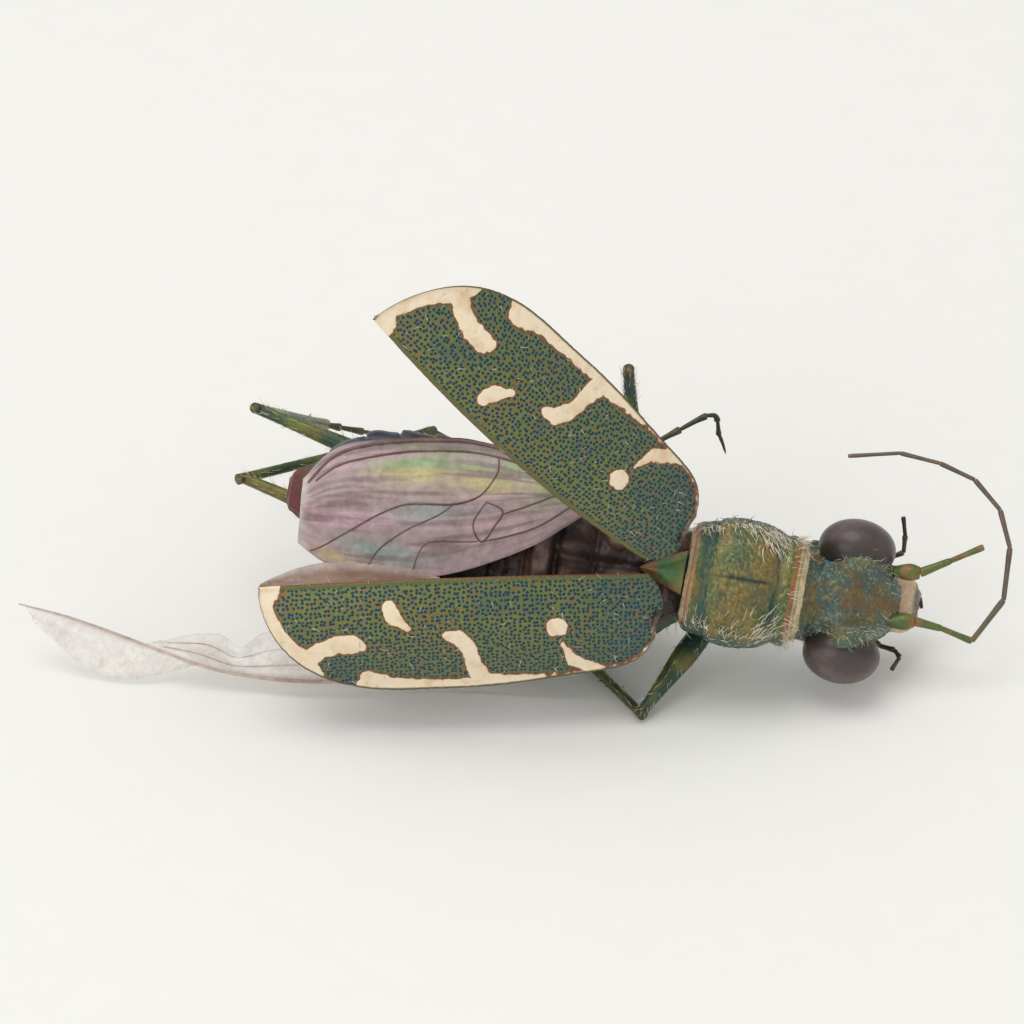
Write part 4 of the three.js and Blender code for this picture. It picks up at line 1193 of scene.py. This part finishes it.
def makeWings():
    skin = wingMaterial()
    makeFoldedWing(skin)
    makeSpreadWing(skin)
    makeFlap(skin)
    makeSpreadVeins()
    print("wings made")


makeWings()

# Bristles

bristle = {
    "mottle": (colour4(238, 232, 218), colour4(186, 170, 142), 1500.0, 0.8, 5000.0),
    "white": colour4(222, 214, 194), "sheen": {"roughness": 0.45},
    "thickness": 0.000011, "usualLength": 0.0003, "bend": 0.22, "patch": 0.003, "sunk": 0.01,
    "clearShare": 0.3, "floorGap": 0.02, "elytronCount": 170, "elytronThickness": 1.5}


def bristleTree(material):  # a bent tapering hair on every point, along its aim and as long as its reach
    tree, source, result = newTree(
        "bristles", "GeometryNodeTree",
        [("Geometry", "Geometry"), ("Thickness", "Float"), ("Bend", "Float"), ("Patch", "Float")],
        [("Geometry", "Geometry")])
    given = source.outputs
    line = put(tree, "GeometryNodeCurvePrimitiveLine", {"Start": (0, 0, 0), "End": (0, 0, 1)})
    steps = put(tree, "GeometryNodeResampleCurve", {"Curve": line.outputs[0], "Count": 5})
    factor = put(tree, "GeometryNodeSplineParameter").outputs["Factor"]
    aside = put(tree, "ShaderNodeCombineXYZ",
                {"X": times(tree, times(tree, factor, factor), given["Bend"])})
    bent = put(tree, "GeometryNodeSetPosition", {"Geometry": steps.outputs[0], "Offset": aside.outputs[0]})
    ring = put(tree, "GeometryNodeCurvePrimitiveCircle", {"Resolution": 3, "Radius": 1.0})
    size = put(tree, "ShaderNodeCombineXYZ", {"X": given["Thickness"], "Y": given["Thickness"], "Z": 1.0})
    scaled = put(tree, "GeometryNodeTransform", {"Geometry": ring.outputs[0], "Scale": size.outputs[0]})
    taper = reckon(tree, "SUBTRACT", 1.0, times(tree, factor, 0.85))
    hair = put(tree, "GeometryNodeCurveToMesh", {
        "Curve": bent.outputs[0], "Profile Curve": scaled.outputs[0], "Scale": taper})
    own = put(tree, "GeometryNodeStoreNamedAttribute", {"Geometry": hair.outputs[0], "Name": "own"},
              data_type="FLOAT_VECTOR", domain="POINT")
    tree.links.new(put(tree, "GeometryNodeInputPosition").outputs[0], own.inputs["Value"])
    aim = put(tree, "FunctionNodeAlignRotationToVector", {
        "Vector": named(tree, "aim", "FLOAT_VECTOR")}, axis="Z")
    reach = named(tree, "reach", "FLOAT")
    long = put(tree, "ShaderNodeCombineXYZ", {"X": reach, "Y": reach, "Z": reach})
    placed = put(tree, "GeometryNodeInstanceOnPoints", {
        "Points": given["Geometry"], "Instance": own.outputs[0], "Rotation": aim.outputs[0],
        "Scale": long.outputs[0]})
    real = put(tree, "GeometryNodeRealizeInstances", {"Geometry": placed.outputs[0]})
    patch = put(tree, "ShaderNodeVectorMath", {
        0: named(tree, "own", "FLOAT_VECTOR"), "Scale": given["Patch"]}, operation="SCALE")
    spot = put(tree, "ShaderNodeVectorMath", {
        0: named(tree, "rootUv", "FLOAT_VECTOR"), 1: patch.outputs[0]}, operation="ADD")
    bake = put(tree, "GeometryNodeStoreNamedAttribute", {"Geometry": real.outputs[0], "Name": "OFBake"},
               data_type="FLOAT2", domain="CORNER")
    tree.links.new(spot.outputs[0], bake.inputs["Value"])
    return finishTree(tree, result, bake.outputs[0], material)


def plantBristles(name, roots, aims, reaches, uvs, tree, thickness=1.0):  # those that clear the floor
    height = standing(roots)[:, 2]
    tips = standing(roots + aims * reaches[:, None])[:, 2]
    clear = np.minimum(tips, height) > bristle["clearShare"] * reaches + bristle["floorGap"]
    values = [("aim", "FLOAT_VECTOR", aims[clear] @ turn.T), ("rootUv", "FLOAT_VECTOR", uvs[clear]),
              ("reach", "FLOAT", reaches[clear] * millimetre)]
    numbers = {"Thickness": bristle["thickness"] / bristle["usualLength"] * thickness,
               "Bend": bristle["bend"],
               "Patch": bristle["patch"]}
    grown(name, roots[clear], [], values, tree, numbers)


def sow(skin, chance, count, seed):  # random roots on a skin where chance(points, up, side) is high
    grid, out, angle = skins[skin]
    flat, normals = grid.reshape(-1, 3), out.reshape(-1, 3)
    up, side = np.sin(angle).ravel(), np.cos(angle).ravel()
    rows, columns = grid.shape[:2]
    area = np.linalg.norm(np.cross(np.gradient(grid, axis=0), np.gradient(grid, axis=1)), axis=2).ravel()
    weight = np.clip(chance(flat[:, 0], up, side), 0, None) * area
    draw = np.random.default_rng(seed)
    pick = draw.choice(len(flat), count, p=weight / weight.sum(), replace=False)
    uvs = np.stack([(pick % columns) / columns, (pick // columns) / rows, 0 * pick], 1).astype(float)
    return flat[pick], normals[pick], uvs, draw


def onSides(x, up, side):
    wide = np.abs(side)
    low = ease(wide, 0.72, 0.9) * ease(up, -0.7, 0.1) * ease(x, 0.05, 0.3) * ease(x, 2.1, 1.8)
    return low + 0.25 * ease(wide, 0.4, 0.6) * (up > 0) * bump(x, 1.6, 0.4)


def onCollar(x, up, side):
    return bump(x, 2.1, 0.09) * (up > -0.5) * (0.25 + ease(np.abs(side), 0.4, 0.8))


def onBrow(x, up, side):
    wide = np.abs(side)
    cheek = 0.5 * (up > -0.3) * ease(wide, 0.6, 0.9) * ease(x, 2.8, 2.5)
    return bump(wide, 0.72, 0.12) * (up > 0) * ease(x, 2.6, 2.9) + cheek + 0.06 * (up > 0)


def onFlanks(x, up, side):
    return ease(up, 0.1, -0.3)


def everywhere(x, up, side):
    return np.ones(len(x))


# skin, where, count, seed, share of the outward direction, lean, stray, shortest and longest, thickness.
# A lean to the side is towards the middle of the back.
sowings = {
    "pronotumBristles": ("pronotum", onSides, 1600, 101, 0.5, (0, 0.9, 0.36), 0.2, 0.18, 0.36, 1.35),
    "collarBristles": ("pronotum", onCollar, 150, 102, 0.5, (0.7, 0, 0), 0.3, 0.12, 0.24, 1.0),
    "headBristles": ("head", onBrow, 330, 103, 0.7, (0, 0, 0), 0.5, 0.08, 0.2, 1.0),
    "thoraxBristles": ("thorax", onFlanks, 800, 104, 0.45, (-0.6, 0, 0), 0.3, 0.16, 0.32, 1.0),
    "abdomenBristles": ("abdomen", onFlanks, 500, 105, 0.3, (-0.8, 0, 0), 0.3, 0.1, 0.22, 1.0)}


def makeBristles():
    white = mottledMaterial("paleBristle", bristle["mottle"], bristle["sheen"], None, bristle["white"])[0]
    tree = bristleTree(white)
    for name, (skin, where, count, seed, outward, lean, stray, short, long, thickness) in sowings.items():
        roots, normals, uvs, draw = sow(skin, where, count, seed)
        inward = np.stack([1 + 0 * roots[:, 0], -np.sign(roots[:, 1] - 0.12), 1 + 0 * roots[:, 0]], 1)
        aims = unit(outward * normals + inward * lean + draw.normal(0, stray, roots.shape))
        reaches = draw.uniform(short, long, len(roots))
        plantBristles(name, roots - bristle["sunk"] * normals, aims, reaches, uvs, tree, thickness)
    for side in ("Left", "Right"):
        name, count, seed = "elytron" + side, bristle["elytronCount"], 106 + len(side)
        roots, normals, uvs, draw = sow(name, everywhere, count, seed)
        aims = unit(0.25 * normals + draw.normal(0, 0.6, roots.shape))
        inwards = np.minimum((aims * normals).sum(1, keepdims=True), 0)
        aims = unit(aims - normals * inwards + 0.12 * normals)
        reaches = draw.uniform(0.05, 0.17, len(roots))
        plantBristles("elytronSpecks" + side, roots, aims, reaches, uvs, tree, bristle["elytronThickness"])
    for pair, side, roots, aims, reaches, uvs in legHairs:
        plantBristles("legBristles" + pair.title() + side.title(), roots, aims, reaches, uvs, tree)
    print("bristles made")


makeBristles()

# Floor and light

studio = {
    "floor": colour4(246, 245, 241), "floorShade": colour4(245, 244, 240), "floorHalf": 0.6,
    "sky": (1.0, 0.997, 0.985, 1), "background": 0.66,
    "lamps": {"key": ((-0.03, -0.01, 0.17), 0.13, 0.098), "fill": ((-0.1, -0.14, 0.09), 0.12, 0.05)}}


def makeStudio():
    half = studio["floorHalf"]
    mesh = bpy.data.meshes.new("floor")
    corners = [(-half, -half, 0), (half, -half, 0), (half, half, 0), (-half, half, 0)]
    mesh.from_pydata(corners, [], [(0, 1, 2, 3)])
    material, tree, shader = newMaterial("paleFloor", roughness=0.85)
    fine = speckle(tree, objectSpot(tree), 1200.0, 3.0)
    colour = blendColours(tree, stepped(tree, fine, 0.3, 0.7), studio["floorShade"], studio["floor"])
    tree.links.new(colour, shader.inputs["Base Color"])
    mesh.materials.append(material)
    floor = linked("floor", mesh)
    world = bpy.data.worlds.new("studio")
    bpy.context.scene.world = world
    world.use_nodes = True
    sky = world.node_tree.nodes["Background"]
    sky.inputs[0].default_value = studio["sky"]
    sky.inputs[1].default_value = studio["background"]
    for name, (place, size, power) in studio["lamps"].items():
        data = bpy.data.lights.new(name, "AREA")
        data.shape, data.size, data.energy = "DISK", size, power
        lamp = linked(name, data)
        lamp.location = place
        lamp.rotation_euler = (-Vector(place)).to_track_quat("-Z", "Y").to_euler()
    bpy.context.scene.view_settings.view_transform = "Standard"
    print("studio set")


makeStudio()
